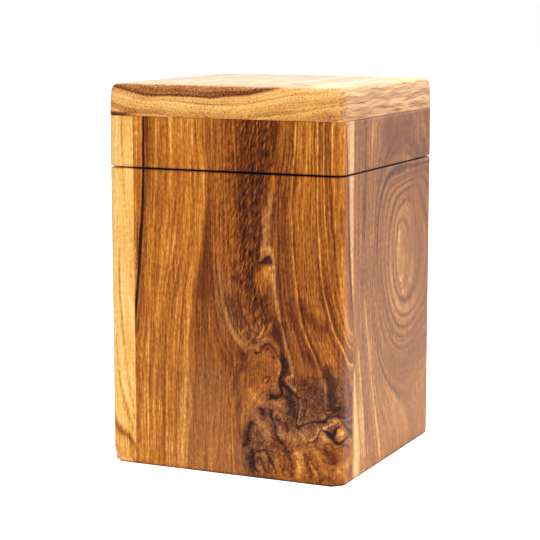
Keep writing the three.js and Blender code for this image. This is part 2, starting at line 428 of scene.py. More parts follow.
FRONT_GUIDES = [
    (-47, [(-46.4, 167), (-46.4, 142), (-46.6, 110), (-47, 84)]),
    (-42, BLACK_VEIN),
    (-41.4, [(-45.7, 48), (-46, 25), (-46.2, 0)]),
    (-35, [(-33.6, 167), (-34.2, 140), (-36, 110), (-37.5, 80), (-38.6, 50), (-39, 20), (-39.2, 0)]),
    (-27, DARK_STRAIGHT),
    (-15, LIGHT_BAND),
    (-1, WAVE_EDGE),
    (12, [(9, 167), (11, 141), (12, 120), (12, 100), (12.5, 88), (15, 78), (18, 71)]),
    (29, PALE_VEIN),
    (38, RIGHT_LINE),
    (51, OUTER_LINE),
    (60, [(56, 167), (56.5, 141), (58, 120), (60, 100), (64, 82), (70, 70)]),
    (-5, [(4.5, 58), (3.3, 50), (2, 40), (1, 28), (0.5, 12), (0.6, 0)]),
    (3, [(12, 38), (9, 34), (8.2, 26), (9.5, 18), (9.6, 10), (10.4, 0)]),
    (22, ring_round(20, 8, 4.6, 1.1)),
    (28, ring_round(20, 8, 2.2, 1.1)),
    (6, ring_round(22.5, 47.5, 1.7, 1.2)),
    (12, [(29.6, 42), (27.4, 39.5), (24.4, 38.4), (21, 33.6), (18.4, 29), (15, 25.6), (13.6, 21),
          (11, 15)]),
    (20, ring_round(27.5, 29.5, 2.6)),
    (33, [(36.4, 46), (38.2, 42), (38.8, 34), (39.4, 26), (36, 21), (32, 17), (29, 8), (30, 0)]),
    (42, [(39.6, 24.6), (41.6, 25), (44.4, 28), (48, 29.6), (51.5, 31), (56, 33), (64, 34)]),
    (48, [(36, 16.5), (40, 19), (44, 20.4), (48, 24), (51, 28), (57, 31.4)]),
    (54, [(46, 14), (49, 7), (52, 0)]),
    (57, ring_round(60.3, 26, 2.9, 1.1)),
    (64, [(48, 21), (53, 19.4), (60, 18.6), (66, 15)]),
]

# %% How light or dark the front board is
# At each height, pairs of (label, tone): the tone is that of the growth ring with this label.
FRONT_TONES = {
    165: [
        (-46, .62), (-43, .58), (-41, .40), (-38, .42), (-34, .56), (-30, .62), (-24, .66), (-19, .58),
        (-16, .55), (-13, .58), (-10, .50), (-3, .46), (4, .42), (9, .34), (13, .24), (20, .23),
        (24, .27), (27, .29), (30, .45), (33, .39), (37, .45), (41, .55), (46, .57), (50, .49), (55, .41),
        (60, .51),
    ],
    140: [
        (-46, .62), (-43, .58), (-40, .38), (-36, .50), (-32, .58), (-26, .62), (-20, .56), (-17, .58),
        (-13, .60), (-9, .46), (-3, .46), (3, .42), (9, .34), (13, .18), (20, .16), (24, .23), (28, .33),
        (32, .37), (38, .41), (42, .53), (46, .57), (50, .51), (55, .41), (60, .51),
    ],
    105: [
        (-46, .62), (-43, .58), (-40, .46), (-34, .58), (-28, .60), (-25, .54), (-18, .58), (-13, .53),
        (-10, .33), (-5, .32), (-1, .38), (4, .41), (9, .31), (12, .22), (17, .19), (21, .23), (26, .46),
        (30, .35), (34, .37), (38, .41), (44, .49), (48, .47), (52, .41), (57, .41), (62, .51),
    ],
    80: [
        (-46, .62), (-41, .50), (-35, .58), (-28, .54), (-24, .50), (-16, .56), (-12, .35), (-5, .35),
        (0, .36), (6, .37), (11, .24), (16, .19), (22, .23), (27, .31), (31, .31), (36, .35), (42, .39),
        (47, .43), (52, .39), (58, .45),
    ],
    45: [
        (-46, .55), (-41, .52), (-35, .56), (-28, .52), (-20, .54), (-15, .56), (-11, .44), (-4, .43),
        (4, .44), (12, .43), (20, .43), (30, .37), (36, .32), (44, .36), (52, .35), (60, .46),
    ],
    8: [
        (-46, .60), (-41, .59), (-35, .63), (-27, .59), (-20, .63), (-15, .63), (-10, .54), (-3, .53),
        (6, .50), (14, .38), (24, .38), (34, .44), (44, .50), (54, .42), (60, .48),
    ],
}

# Thin rings: (label, tone amount, half-width)
FRONT_LINES = [
    (-40.0, -0.08, 0.5), (-37.4, 0.08, 0.3), (-35.6, 0.12, 0.3), (-34.2, -0.12, 0.35), (-31.5, 0.10, 0.3),
    (-29.6, -0.07, 0.3), (-27.0, -0.12, 0.6), (-25.4, 0.10, 0.3), (-22.0, 0.06, 0.3), (-19.0, -0.12, 0.5),
    (-15.8, 0.07, 1.6), (-12.4, -0.08, 0.5), (-9.0, -0.06, 0.4), (-1.6, -0.08, 0.5), (-0.4, 0.10, 0.6),
    (31.0, -0.04, 0.5), (34.6, -0.10, 0.4), (38.0, 0.28, 0.3), (39.0, -0.11, 0.4), (43.0, -0.08, 0.3),
    (45.4, 0.08, 0.3), (47.4, -0.06, 0.3), (49.8, -0.10, 0.4), (51.0, 0.30, 0.3), (52.2, -0.14, 0.4),
    (54.4, 0.24, 0.3), (55.6, -0.10, 0.5), (58.4, 0.12, 0.4),
]

# %% [markdown]
# The strokes of the straight parts come first. The flame is a pale tongue of wood between the feathered
# stripe and the long pale vein. Half-way down it is cut by a dark notch, and an orange patch fills the
# hollow under the notch. On the right the grain bends outwards over the burl, and the rounded corner is
# pale sapwood. The veins are a third kind of mark, a stroke that is inked: thin lines that look burnt
# into the wood, black where their amount nears 1.

# %% Strokes of the flame and of the right-hand side
FLAME_STROKES = [
    (0.22, [(26.4, 142, 0.5), (25.8, 134, 0.8), (24.6, 129, 1.4), (22.8, 124, 2.0), (22.0, 119.5, 2.2),
            (22.6, 114, 1.3), (22.0, 110, 1.8), (22.8, 107.6, 2.4)]),
    (0.20, [(20.6, 108, 0.9), (20.0, 105, 0.8), (19.3, 102.8, 0.5)]),
    (0.20, [(24.6, 108.4, 1.0), (25.8, 105, 0.8), (26.4, 100, 0.7)]),
    (0.19, with_width(PALE_VEIN[7:], 0.7, 0.6, 0.5)),
    (0.10, [(26.8, 96, 1.4), (27.6, 88, 1.6), (29.6, 76, 1.4)]),
    (-0.12, [(19.6, 122, 0.6), (20.0, 114, 0.8), (19.0, 108, 0.8), (18.4, 104, 0.8)]),
    (-0.10, [(27.8, 96, 0.4), (28.2, 88, 0.5), (30, 80, 0.5), (31.8, 72, 0.5), (34, 63, 0.4)]),
    (0.10, [(32, 164, 1.4), (31, 156, 0.9), (29.8, 147, 0.8)]),
    (-0.22, [(20.4, 101.6, 0.5), (22, 102.6, 0.9), (23.6, 104.8, 0.7)]),
    (-0.16, [(22.0, 102, 1.1), (23.6, 103, 1.3), (24.8, 101.6, 1.0)]),
    (0.22, [(24.6, 99.4, 0.9), (22.6, 98.6, 1.8), (20.6, 96, 2.4), (20, 92, 2.0), (20.6, 88, 1.2)]),
    (0.16, [(24.8, 101, 0.4), (24.4, 99, 0.6), (24.6, 96, 0.8), (24, 92, 0.8)]),
]
RIGHT_SIDE_STROKES = [
    (-0.12, [(40, 84, 2.4), (43, 79, 2), (47, 75, 2), (52, 73, 1.8)]),
    (0.08, [(43, 88, 1.6), (47, 82, 2), (51, 79, 1.4)]),
    (0.12, [(36, 70, 1.4), (38.5, 64, 1.6), (41, 57, 1.6)]),
    (0.12, [(50, 66, 2), (54, 60, 2), (57, 52, 1.4)]),
    (-0.10, [(44, 60, 2), (48, 54, 2.4)]),
    (0.36, [(69, 168, 5.4), (68.9, 142, 3.3), (70, 110, 2.0), (71.4, 90, 0.9), (72, 80, 0.3)]),
    (0.14, [(60.5, 110, 1.6), (61.5, 92, 2.4), (63, 78, 3.4), (65, 66, 5), (68, 56, 4)]),
    (0.12, [(60, 167, 2), (60, 130, 1.6)]),
    (0.16, [(69, 52, 2.4), (71, 46, 2)]),
]
LONG_VEINS = [
    (1.6, with_width(BLACK_VEIN, 0.4, 0.55, 0.7, 0.65, 0.45)),
    (0.45, [(-43.4, 150, 0.3), (-43.6, 130, 0.5), (-44, 110, 0.5), (-45, 95, 0.4)]),
    (0.5, [(32.6, 165, 0.46), (31.8, 156, 0.46), (30.6, 146, 0.55)]),
    (0.85, [(62.4, 165, 0.3), (64.4, 141, 0.7), (65.8, 120, 1.1), (67, 105, 1.1), (68.8, 91, 0.8),
            (71, 81, 0.3)]),
    (0.5, [(54, 168, 0.3), (54.6, 141, 0.4), (55.6, 122, 0.5), (56.8, 105, 0.4)]),
    (0.5, [(49.6, 104, 0.3), (51.6, 90, 0.5), (54.8, 79, 0.6), (58.6, 67, 0.6), (62, 58, 0.7),
           (66, 52, 0.5)]),
]
print(len(FLAME_STROKES), "strokes in the flame,", len(LONG_VEINS), "long veins")

# %% [markdown]
# The feathered stripe ends in a border that runs down its left side and curls up to the right. Just
# inside the border lie short pale nicks that all lean the same way. To the left is a smooth wedge of
# plain wood.

# %% Strokes of the feather's border
FEATHER_STROKES = [
    (-0.07, [(-6.4, 134, 0.5), (-6.8, 122, 1.4), (-7.6, 112, 2.8), (-8.6, 100, 4.0), (-9.0, 86, 4.4)]),
    (0.12, [(-1, 84, 0.8), (1.4, 76, 1.2), (4.4, 69.4, 1.8), (8.6, 65, 2.2), (14, 62.6, 1.8),
            (18, 62, 1.3), (20.6, 63.4, 1.0), (23, 65.6, 0.8), (25.6, 64.8, 0.8), (29, 61, 0.6)]),
    (0.07, [(-3.4, 112, 1.5), (-1.6, 98, 2.5), (0.6, 86, 3)]),
    (-0.10, [(4, 84, 3), (8, 76, 3), (14, 70, 3)]),
    (0.20, [(16.6, 70, 0.3), (18.4, 73.5, 0.5), (20.6, 78, 0.3)]),
    (0.26, [(18.6, 66.4, 0.4), (20.4, 69.4, 0.6), (21.6, 73, 0.3)]),
    (0.26, [(22.4, 69.4, 0.4), (24.2, 71.6, 0.6), (25.8, 74.6, 0.3)]),
    (0.16, [(9.4, 67.4, 0.4), (11, 69.6, 0.5), (13, 71.4, 0.3)]),
    (0.18, [(13, 64.6, 0.4), (15.4, 67, 0.6), (17, 70, 0.3)]),
    (0.14, [(14.4, 71, 0.3), (15.8, 74, 0.4), (17.4, 77.6, 0.3)]),
    (-0.12, [(14, 66, 1.4), (17, 64.6, 1.4)]),
]
FEATHER_VEINS = [
    (0.3, with_width(WAVE_EDGE[5:13], 0.2, 0.6, 0.9)),
    (0.75, with_width(WAVE_EDGE[12:], 0.5, 0.7, 0.6, 0.8, 0.8)),
    (0.6, [(19.6, 101.4, 0.46), (21.4, 103.2, 0.64), (23.8, 104.4, 0.92), (25.2, 102, 0.74)]),
    (0.35, [(4.5, 60, 0.37), (3.3, 50, 0.46), (2, 40, 0.46), (1, 28, 0.37)]),
    (0.35, [(11.4, 38, 0.37), (9, 35, 0.37), (8.2, 29, 0.37), (8.6, 21, 0.46), (9.4, 16, 0.46)]),
]
print(len(FEATHER_STROKES), "strokes along the feather's border")

# %% [markdown]
# The burl is where a bud grew into the trunk again and again. Its lines swirl, and it has four parts: a
# brown lobe below the feather, a black crack that comes down beside it and ends in a pale hook, a dark
# patch on the right with pale edges, and small knots in the middle. Every one is drawn, and the finest
# mottling is left to noise.

# %% Strokes of the burl
LOBE_STROKES = [
    (0.04, [(12, 31, 1.8), (15.6, 34, 2.2), (19.6, 39, 2.0), (22, 44, 1.6)]),
    (0.12, [(13, 33, 0.3), (16, 37, 0.5), (18, 41, 0.3)]),
    (0.12, [(17, 33, 0.3), (19.6, 37, 0.5), (21.6, 40.4, 0.3)]),
    (0.14, [(19, 42, 0.3), (21, 45, 0.4), (22.4, 47, 0.3)]),
    (-0.08, [(2, 56, 3), (6, 50, 3), (7, 40, 2)]),
    (-0.11, [(8.8, 34, 1.2), (8.4, 27, 1.4), (9.4, 20, 1.8)]),
    (-0.14, [(9, 58, 2.0), (13, 56, 2.4), (11, 51, 2)]),
    (0.14, [(15, 42, 1.6), (18, 38.5, 1.8), (20, 36, 1.2)]),
]
CRACK_STROKES = [
    (-0.14, [(28, 75, 2.2), (28.6, 68, 2.0), (30.6, 61, 1.4), (32.6, 54, 1.2)]),
    (-0.10, [(31.6, 58, 0.9), (32.6, 53, 1.4), (32, 48, 1.3), (33, 45, 1.6), (35.4, 42.6, 1.2)]),
    (-0.14, [(31, 41, 1.6), (35, 39, 2.0), (36.6, 33, 1.6)]),
    (0.20, [(28.6, 57, 0.5), (29, 52, 0.7), (29, 47.5, 0.6)]),
    (-0.12, [(30, 60, 1.2), (31.6, 55, 1.4), (32, 49, 1.3)]),
    (-0.16, [(31, 46.4, 1.2), (33, 44.6, 1.6), (36, 42.8, 1.2)]),
    (0.34, [(36, 50.5, 0.6), (34.4, 49, 0.6), (33.9, 47.4, 0.6), (35, 45.4, 0.7), (37, 44, 0.5)]),
    (-0.17, [(25, 39.6, 1.6), (28, 40.6, 1.4)]),
    (-0.14, [(33, 41, 2.6), (34.6, 36, 3), (35, 30, 3), (34, 25, 2.4)]),
]
DARK_PATCH_STROKES = [
    (-0.14, [(44, 50.6, 0.5), (48, 49.6, 0.6), (51, 51, 0.5)]),
    (-0.08, [(41, 46, 3), (46, 44, 4), (48, 38, 4), (43, 36, 3)]),
    (0.22, [(39.4, 40, 0.4), (39.6, 34, 0.4), (39.8, 27, 0.4)]),
    (0.14, [(42, 54, 3), (46, 52, 3)]),
    (-0.22, [(53.6, 55, 1.6), (54.6, 49, 2.2), (55, 42, 2.4), (56, 37, 2)]),
    (0.20, [(51.6, 50, 0.4), (51.8, 43, 0.4), (52, 38, 0.4)]),
    (-0.20, [(59, 37, 1.6), (65, 35, 1.4)]),
]
SMALL_KNOT_STROKES = [
    (0.17, [(26.8, 36.8, 1.1), (29.4, 36.6, 1.3), (30.6, 34.6, 1.0)]),
    (-0.22, [(20, 32.4, 1.5), (21.4, 30.6, 1.3)]),
    (-0.20, [(24.6, 31.8, 1.0), (25.4, 29.6, 1.0)]),
    (0.17, [(26.6, 31.2, 0.6), (28.4, 32, 0.6), (30, 30.6, 0.6)]),
    (-0.22, [(16.6, 26.6, 1.0), (14.2, 23.4, 1.8), (12.8, 19.4, 2.0), (11.4, 15.6, 1.5)]),
    (0.14, [(19.6, 27.4, 1.4), (22, 24, 1.6), (24, 20.6, 1.4)]),
    (-0.11, [(17.6, 21, 2), (20, 18, 2)]),
    (-0.14, [(25.4, 26.6, 0.9), (27, 22, 1.3), (29.6, 18, 1.2)]),
    (0.14, [(29.6, 25, 1.2), (32, 21.6, 1.6), (36, 20.4, 1.4)]),
]
CRACK_VEINS = [
    (0.55, [(30.2, 60, 0.37), (30.4, 54, 0.46), (30.2, 47, 0.46), (30, 42, 0.55), (29, 40, 0.55),
            (26, 39.8, 0.74), (24, 38, 0.46)]),
    (0.7, [(24.4, 40.4, 0.7), (26, 39.6, 1.0), (27.4, 38.4, 0.6)]),
    (0.45, [(33, 60, 0.3), (34.6, 54, 0.37), (35, 51, 0.3)]),
    (0.75, [(31, 46, 0.74), (33.4, 44, 0.64), (36, 42.4, 0.46), (37.8, 41, 0.37)]),
    (0.7, [(38.2, 43, 0.3), (38.4, 37, 0.37), (38.8, 31, 0.37), (39.3, 25.6, 0.46)]),
]
SMALL_KNOT_VEINS = [
    (0.75, [(24.6, 49, 0.46), (22.6, 48.8, 0.46), (20.8, 47.6, 0.46), (21.2, 46, 0.46),
            (22.8, 46.2, 0.46), (24.2, 47.6, 0.46), (24.6, 49, 0.46)]),
    (0.6, [(19.6, 33.4, 0.64), (21.2, 32.2, 0.74), (20.8, 30.2, 0.55)]),
    (0.75, [(24, 33.4, 0.5), (25.6, 32.6, 0.6), (25, 30.4, 0.7), (25.8, 28.4, 0.6), (26.6, 26, 0.5)]),
    (0.8, [(27.4, 31, 0.3), (27.4, 29, 0.45), (28.8, 28.6, 0.45), (29.6, 30, 0.35)]),
    (0.6, [(16.8, 27, 0.46), (14.8, 25.2, 0.55), (13.8, 22.4, 0.74), (12.4, 18, 0.83),
           (10.8, 14.4, 0.55)]),
    (0.5, [(10.2, 14, 0.37), (9.8, 9, 0.46), (11.6, 4, 0.46), (14, 1, 0.37)]),
    (0.85, [(26.6, 26, 0.3), (27.6, 23, 0.46), (29.2, 20, 0.55), (31, 17.4, 0.46), (32.4, 15.6, 0.3)]),
    (0.4, [(33, 16, 0.3), (37, 17.6, 0.37), (40.6, 19.4, 0.3)]),
]
print(len(CRACK_STROKES), "strokes along the crack,", len(SMALL_KNOT_STROKES), "in the small knots")

# %% [markdown]
# At the foot of the board is the largest knot, with dark rings that open downwards, and pale patches
# beside it. On the rounded corner sits a pale knot in a black eye, and from it dark lines run on round
# the corner.

# %% Strokes of the foot and of the corner
FOOT_STROKES = [
    (-0.20, [(14, 9, 2.4), (15, 4, 2)]),
    (0.17, [(17.6, 11.4, 0.7), (20.6, 11.6, 0.8), (22.6, 9.6, 0.7), (23.6, 6.4, 0.7)]),
    (0.20, [(18.6, 6.6, 0.8), (19.4, 3.6, 0.8)]),
    (0.14, [(28, 9, 1.0), (30, 5, 1.2), (32, 1, 1.2)]),
    (0.25, [(38.2, 14.4, 1.2), (39.8, 11, 2.1), (40.2, 6.6, 1.9), (38.6, 2.8, 1.2)]),
    (0.20, [(45.4, 17.6, 1.2), (48, 13.6, 1.8), (50.6, 9.4, 1.5), (52.4, 6, 0.9)]),
    (0.22, [(44.6, 10.6, 0.8), (46.4, 6.4, 1.0), (49, 3, 0.8)]),
    (-0.22, [(42.4, 14, 0.8), (43.4, 9, 1.0), (45, 4, 0.8)]),
    (-0.20, [(34, 14, 1.4), (36.4, 8, 1.2), (36, 3, 1.2)]),
    (-0.20, [(44, 12.6, 0.5), (47.4, 7.4, 0.6), (50, 2.6, 0.6)]),
    (-0.28, [(52.6, 16, 1.8), (55.6, 14.6, 2.2), (57.4, 12.4, 1.6)]),
]
CORNER_KNOT_STROKES = [
    (0.30, [(58, 32, 0.6), (54.6, 30.8, 0.7), (51.6, 28.6, 0.8), (49.4, 25.4, 0.8), (46.4, 22.4, 0.7),
            (43.4, 19.8, 0.6), (41.6, 20.6, 0.6), (40, 23, 0.5)]),
    (0.22, [(50.6, 23.6, 1.0), (51.6, 21.4, 1.0)]),
    (0.42, [(59.2, 26.6, 1.4), (61.2, 25.2, 1.5)]),
    (0.17, [(60, 8, 2.4), (66, 8, 3)]),
]
CORNER_VEINS = [
    (0.8, [(39.4, 24.8, 0.46), (41, 26, 0.46), (43.4, 28, 0.46), (46, 29.6, 0.74), (49, 30, 0.74),
           (51.6, 31.2, 0.46)]),
    (0.7, [(51.6, 31.2, 0.37), (55, 33, 0.46), (59, 33.4, 0.64), (64, 31.6, 0.64)]),
    (0.5, [(42.6, 18.8, 0.3), (45.4, 21, 0.37), (48.4, 23.4, 0.37), (50.4, 26.6, 0.37)]),
    (1.3, [(50.8, 26, 0.4), (52.6, 25.2, 0.9), (55, 24.2, 1.0), (56.8, 26, 0.8), (58.4, 28.8, 0.6)]),
    (1.2, [(54, 23.6, 0.7), (56, 21.8, 0.7), (60, 21.2, 0.7), (66, 22, 0.6)]),
    (0.8, [(62.6, 28, 0.74), (66.5, 25.4, 0.92), (71.5, 22.4, 0.64)]),
    (0.75, [(50.6, 18.8, 0.37), (54, 19.6, 0.46), (58, 18.6, 0.46), (63, 19.4, 0.55), (67, 17.6, 0.64),
            (70, 16, 0.46)]),
    (0.55, [(51.4, 35, 0.37), (53, 33.6, 0.46), (56, 34.4, 0.46), (60, 35.2, 0.46)]),
    (0.45, [(52, 54, 0.46), (53.4, 51, 0.64), (53, 48, 0.55), (54.6, 45, 0.55), (53.6, 41, 0.55),
            (55.4, 38, 0.64)]),
    (0.55, [(56, 52, 0.46), (57.4, 49, 0.55), (56.6, 46, 0.46), (58, 43, 0.46)]),
    (0.8, [(41, 21.4, 0.3), (43.6, 19.2, 0.37), (46.8, 21, 0.37), (49, 24.6, 0.37), (50.2, 28, 0.3)]),
]
FOOT_VEINS = [
    (0.7, [(53, 12, 0.37), (56, 10.6, 0.46), (58, 11.4, 0.37)]),
    (0.9, [(14.4, 12.4, 0.46), (15.4, 13.8, 0.55), (15.4, 10, 0.55), (16, 6.6, 0.55), (17.4, 3.2, 0.46)]),
    (0.85, [(17.2, 13.2, 0.46), (20, 14.2, 0.55), (22.6, 13, 0.64), (24.6, 9.8, 0.64), (26.2, 6.4, 0.55),
            (28, 3.4, 0.37)]),
    (0.75, [(17, 8.8, 0.37), (18.8, 9.6, 0.46), (20.4, 8.2, 0.46), (21.4, 6, 0.46), (22.4, 3.6, 0.37)]),
    (0.6, [(22.6, 9.6, 0.3), (24, 6.6, 0.37), (25.4, 3, 0.37), (26.4, 0.6, 0.3)]),
    (0.5, [(43.4, 11, 0.3), (45.4, 7, 0.37), (48.4, 2.6, 0.37)]),
    (0.45, [(46.6, 14.6, 0.3), (49.6, 10, 0.37), (52.4, 6, 0.37)]),
    (0.7, [(55.4, 7.4, 0.37), (57.6, 8.8, 0.46), (60.4, 7.8, 0.46), (61, 5, 0.37)]),
]
FRONT_STROKES = [
    *FLAME_STROKES,
    *RIGHT_SIDE_STROKES,
    *FEATHER_STROKES,
    *LOBE_STROKES,
    *CRACK_STROKES,
    *DARK_PATCH_STROKES,
    *SMALL_KNOT_STROKES,
    *FOOT_STROKES,
    *CORNER_KNOT_STROKES,
]
FRONT_VEINS = [
    *LONG_VEINS, *FEATHER_VEINS, *CRACK_VEINS, *SMALL_KNOT_VEINS, *CORNER_VEINS, *FOOT_VEINS,
]
print(len(FRONT_STROKES), "strokes and", len(FRONT_VEINS), "veins on the front board")

# %% [markdown]
# Four more marks say how the noise behaves. The feather mark is where slanting barbs show, and the stir
# mark is where the grain is stirred, as in the burl: the noise swirls there and loses its direction. The
# dull mark is where the wood is greyer, and the haze mark is where the rings and hairs fade, because the
# surface is smooth and even.

# %% Feather, stir, dull and haze on the front board
FEATHER = [
    (1.4, [(17, 170, 10), (16, 141, 8), (15, 118, 7), (14, 100, 6), (15, 86, 6), (19, 74, 6)]),
    (0.6, [(2, 141, 6), (3, 115, 6), (5, 95, 6)]),
]
STIR = [
    (1.0, [(14, 62, 3), (22, 64, 4), (31, 52, 5), (36, 40, 8), (38, 20, 12), (56, 26, 10)]),
    (0.9, [(46, 40, 7), (56, 44, 8)]),
    (0.7, [(36, 4, 7), (52, 7, 7)]),
    (0.9, [(18, 20, 8), (20, 6, 8)]),
    (0.4, [(16, 48, 7), (16, 36, 7)]),
]
FRONT_DULL = [
    (0.75, [(18, 8, 9), (22, 28, 8), (34, 30, 12), (50, 34, 12), (56, 48, 6)]),
    (0.45, [(-1, 96, 3), (3, 80, 5), (10, 68, 5), (18, 66, 4)]),
    # This stroke lies on the board's end, which faces right: its grey is painted reflection of the white
    # studio, as on the right board.
    (0.8, [(69, 168, 5), (69, 142, 4), (70, 110, 3), (71.4, 90, 2)]),
    (0.4, [(-8, 0, 16), (-8, 40, 12)]),
    (0.55, [(25.6, 134, 1), (22.6, 122, 2.4), (22.4, 110, 2.4), (26, 102, 1.4), (28, 84, 1.2),
            (34, 58, 1.4), (36, 45, 1.6)]),
]
FRONT_HAZE = [
    (0.7, [(-7, 128, 1.5), (-8.6, 106, 3.5), (-9, 86, 5)]),
    (0.4, [(-9, 62, 7), (-10, 20, 9)]),
]
print("feather, stir, dull and haze laid out")

# %% [markdown]
# ### The other three boards
#
# The right board is cut past the heart of the tree, so its rings bend round it as long ovals that open
# towards the back, and below them the grain runs down to the right. Its distances across run from the
# front to the back. It is drawn with the same kinds of mark, but it is hazy at the back and at the foot,
# and its colour is greyer all over: painted reflection of the bright back of the studio, which this wall
# mirrors at a low angle.

# %% The right board
HEART = [(15, 112), (13, 99), (16, 84)]  # the middle of the right board's ovals
FIRST_ARC = [
    (34, 127), (22, 125.5), (12, 121), (6, 111), (4.6, 98), (7, 86), (13, 77), (21, 73), (31, 74),
    (40, 81), (45, 93), (45, 106),
]
SECOND_ARC = [
    (42, 131), (22, 129.5), (8, 126), (0.6, 115), (-1.4, 98), (1, 86), (6, 77), (13, 69.5), (22, 67),
    (34, 68), (48, 76),
]
THIRD_ARC = [
    (50, 135), (22, 132.5), (4, 129.5), (-4, 118), (-6.4, 98), (-4, 86), (0, 76), (8, 66), (17, 62),
    (30, 61.5), (50, 69),
]
OUTER_ARC = [
    (58, 140), (30, 138), (10, 137.5), (0, 137), (-8, 133), (-14, 124), (-16.6, 110), (-16, 97),
    (-13, 84), (-6, 70), (1, 61), (10, 54), (20, 51), (34, 53), (58, 62),
]
SHOULDER = [
    (-28, 167), (-27, 140), (-27, 110), (-25, 88), (-20, 68), (-14, 54), (-8, 46), (0, 39.5), (10, 33.5),
    (20, 29.5), (30, 32), (40, 37), (58, 42),
]
RIGHT_GUIDES = [
    (0, HEART), (8, FIRST_ARC), (12, SECOND_ARC), (16, THIRD_ARC), (25, OUTER_ARC), (36, SHOULDER),
    (46, [(-32, 167), (-32, 141), (-33, 110), (-31, 85), (-24, 58), (-18, 36), (-10, 14), (-4, -2)]),
    (56, [(-38, 167), (-38, 120), (-38, 85), (-34, 55), (-28, 25), (-25, 0)]),
    (66, [(-45, 167), (-45, 110), (-44, 70), (-40, 35), (-37, 0)]),
    (29, [(20, 167), (24, 156), (32, 148), (44, 144), (60, 142.5)]),
]
RIGHT_STROKES = [
    (0.11, [(13.6, 111, 1.0), (13, 102, 2.0), (14.6, 92, 2.2), (17.6, 82, 1.6), (21, 78, 1)]),
    (-0.07, [(20, 104, 1.6), (22, 100, 1.2)]),
    (0.07, [(31, 92, 3), (29, 80, 3)]),
    (0.30, [(-44, 52, 0.6), (-43, 34, 1.8), (-41.6, 16, 2.8), (-40.6, -2, 3.4)]),
    (0.12, [(-32.4, 84, 0.6), (-28, 68, 1.2), (-24, 54, 1.4), (-20.6, 40, 1.2), (-15, 22, 1.0),
            (-9, 4, 0.8)]),
    (0.14, [(-39, 60, 0.6), (-36.4, 44, 1.2), (-34.6, 28, 1.6), (-32.6, 10, 2)]),
    (-0.08, [(-35, 70, 0.8), (-30, 44, 1.2), (-26, 24, 1.4), (-22, 4, 1.4)]),
    (0.03, [(0, 20, 8), (20, 14, 12), (44, 20, 14)]),
    (-0.05, [(4, 46, 5), (20, 40, 7), (42, 48, 8)]),
    (-0.05, [(40, 136, 12), (42, 110, 14), (48, 80, 12)]),
    (0.05, [(-24, 46, 3), (-16, 24, 4), (-8, 4, 5)]),
    (-0.10, [(-32, 167, 0.6), (-32, 150, 0.8), (-33, 130, 1.6), (-34, 112, 1.2)]),
    (-0.08, [(-41.6, 122, 0.8), (-41.6, 100, 1)]),
    (0.06, [(-23, 160, 5), (-24, 135, 4), (-22, 110, 3)]),
    (-0.12, [(26, 81, 1.6), (29, 79.6, 1.2)]),
    (0.12, [(32, 167, 1.6), (36, 155, 1.8), (44, 148, 1.6)]),
    (-0.06, [(-2, 160, 8), (8, 152, 9)]),
]
# Painted reflection: the right board's colour is blended into the greyer ramp all over, for the milky sheen
# of the white studio.
RIGHT_PAINTED_SHEEN = [(0.56, [(0, 167, 80), (0, 0, 80)])]  # the whole board is greyer
RIGHT_HAZE = [
    (0.8, [(40, 130, 12), (36, 110, 14), (44, 90, 14), (46, 70, 10)]),
    (0.9, [(-2, 52, 5), (8, 44, 7), (22, 40, 8), (44, 48, 10)]),
    (0.7, [(10, 12, 14), (40, 16, 16)]),
    (0.7, [(2, 158, 8), (14, 154, 8)]),
]
RIGHT_TONES = {
    165: [
        (0, .46), (25, .44), (30, .42), (36, .50), (44, .46), (47, .38), (50, .46), (56, .42), (66, .48),
    ],
    120: [
        (0, .58), (8, .54), (16, .48), (25, .42), (30, .46), (36, .48), (44, .46), (50, .42), (56, .48),
        (66, .54),
    ],
    60: [(0, .58), (8, .52), (16, .50), (25, .48), (36, .50), (46, .56), (56, .52), (66, .58)],
    5: [(0, .56), (25, .56), (36, .58), (46, .60), (56, .60), (66, .68)],
}
RIGHT_LINES = [
    (2.0, 0.07, 0.6), (4.6, -0.06, 0.5), (6.4, 0.08, 0.5), (8.0, -0.10, 0.4), (10.2, 0.10, 0.6),
    (12.0, -0.11, 0.4), (14.0, 0.08, 0.6), (16.0, -0.07, 0.4), (18.4, 0.06, 0.7), (20.6, -0.05, 0.6),
    (23.4, 0.07, 0.6), (25.0, -0.13, 0.6), (26.4, 0.05, 0.4), (28.4, -0.05, 0.5), (31.0, 0.05, 0.6),
    (35.4, 0.08, 0.4), (36.4, -0.12, 0.5), (41.6, -0.04, 0.5), (46.0, -0.06, 0.5), (48.0, 0.05, 0.6),
    (52.0, -0.04, 0.5), (54.5, 0.06, 0.6), (58.0, -0.06, 0.4), (61.0, 0.05, 0.5),
]
print(len(RIGHT_GUIDES), "guides and", len(RIGHT_STROKES), "strokes on the right board")

# %% [markdown]
# ### The left and the back board
#
# Only the end of the left board shows from the front: it is the pale strip of sapwood on the left, with
# one dark stain that drifts down to its lower corner. The back board has a plain cathedral figure, arches
# that stand inside one another, because it is sawn flat from the side of the log. Both share one calm set
# of tones and lines.

# %% The left and the back board
PLAIN_TONES = {0: [(-60, .56), (-20, .50), (10, .56), (40, .50), (70, .56)],
               167: [(-60, .54), (-30, .56), (0, .48), (30, .56), (70, .52)]}
PLAIN_LINES = [
    (-31, -0.08, 0.6), (-12, 0.07, 0.6), (-4, -0.10, 0.7), (9, 0.08, 0.5), (17, -0.08, 0.5),
    (33, -0.08, 0.7),
]

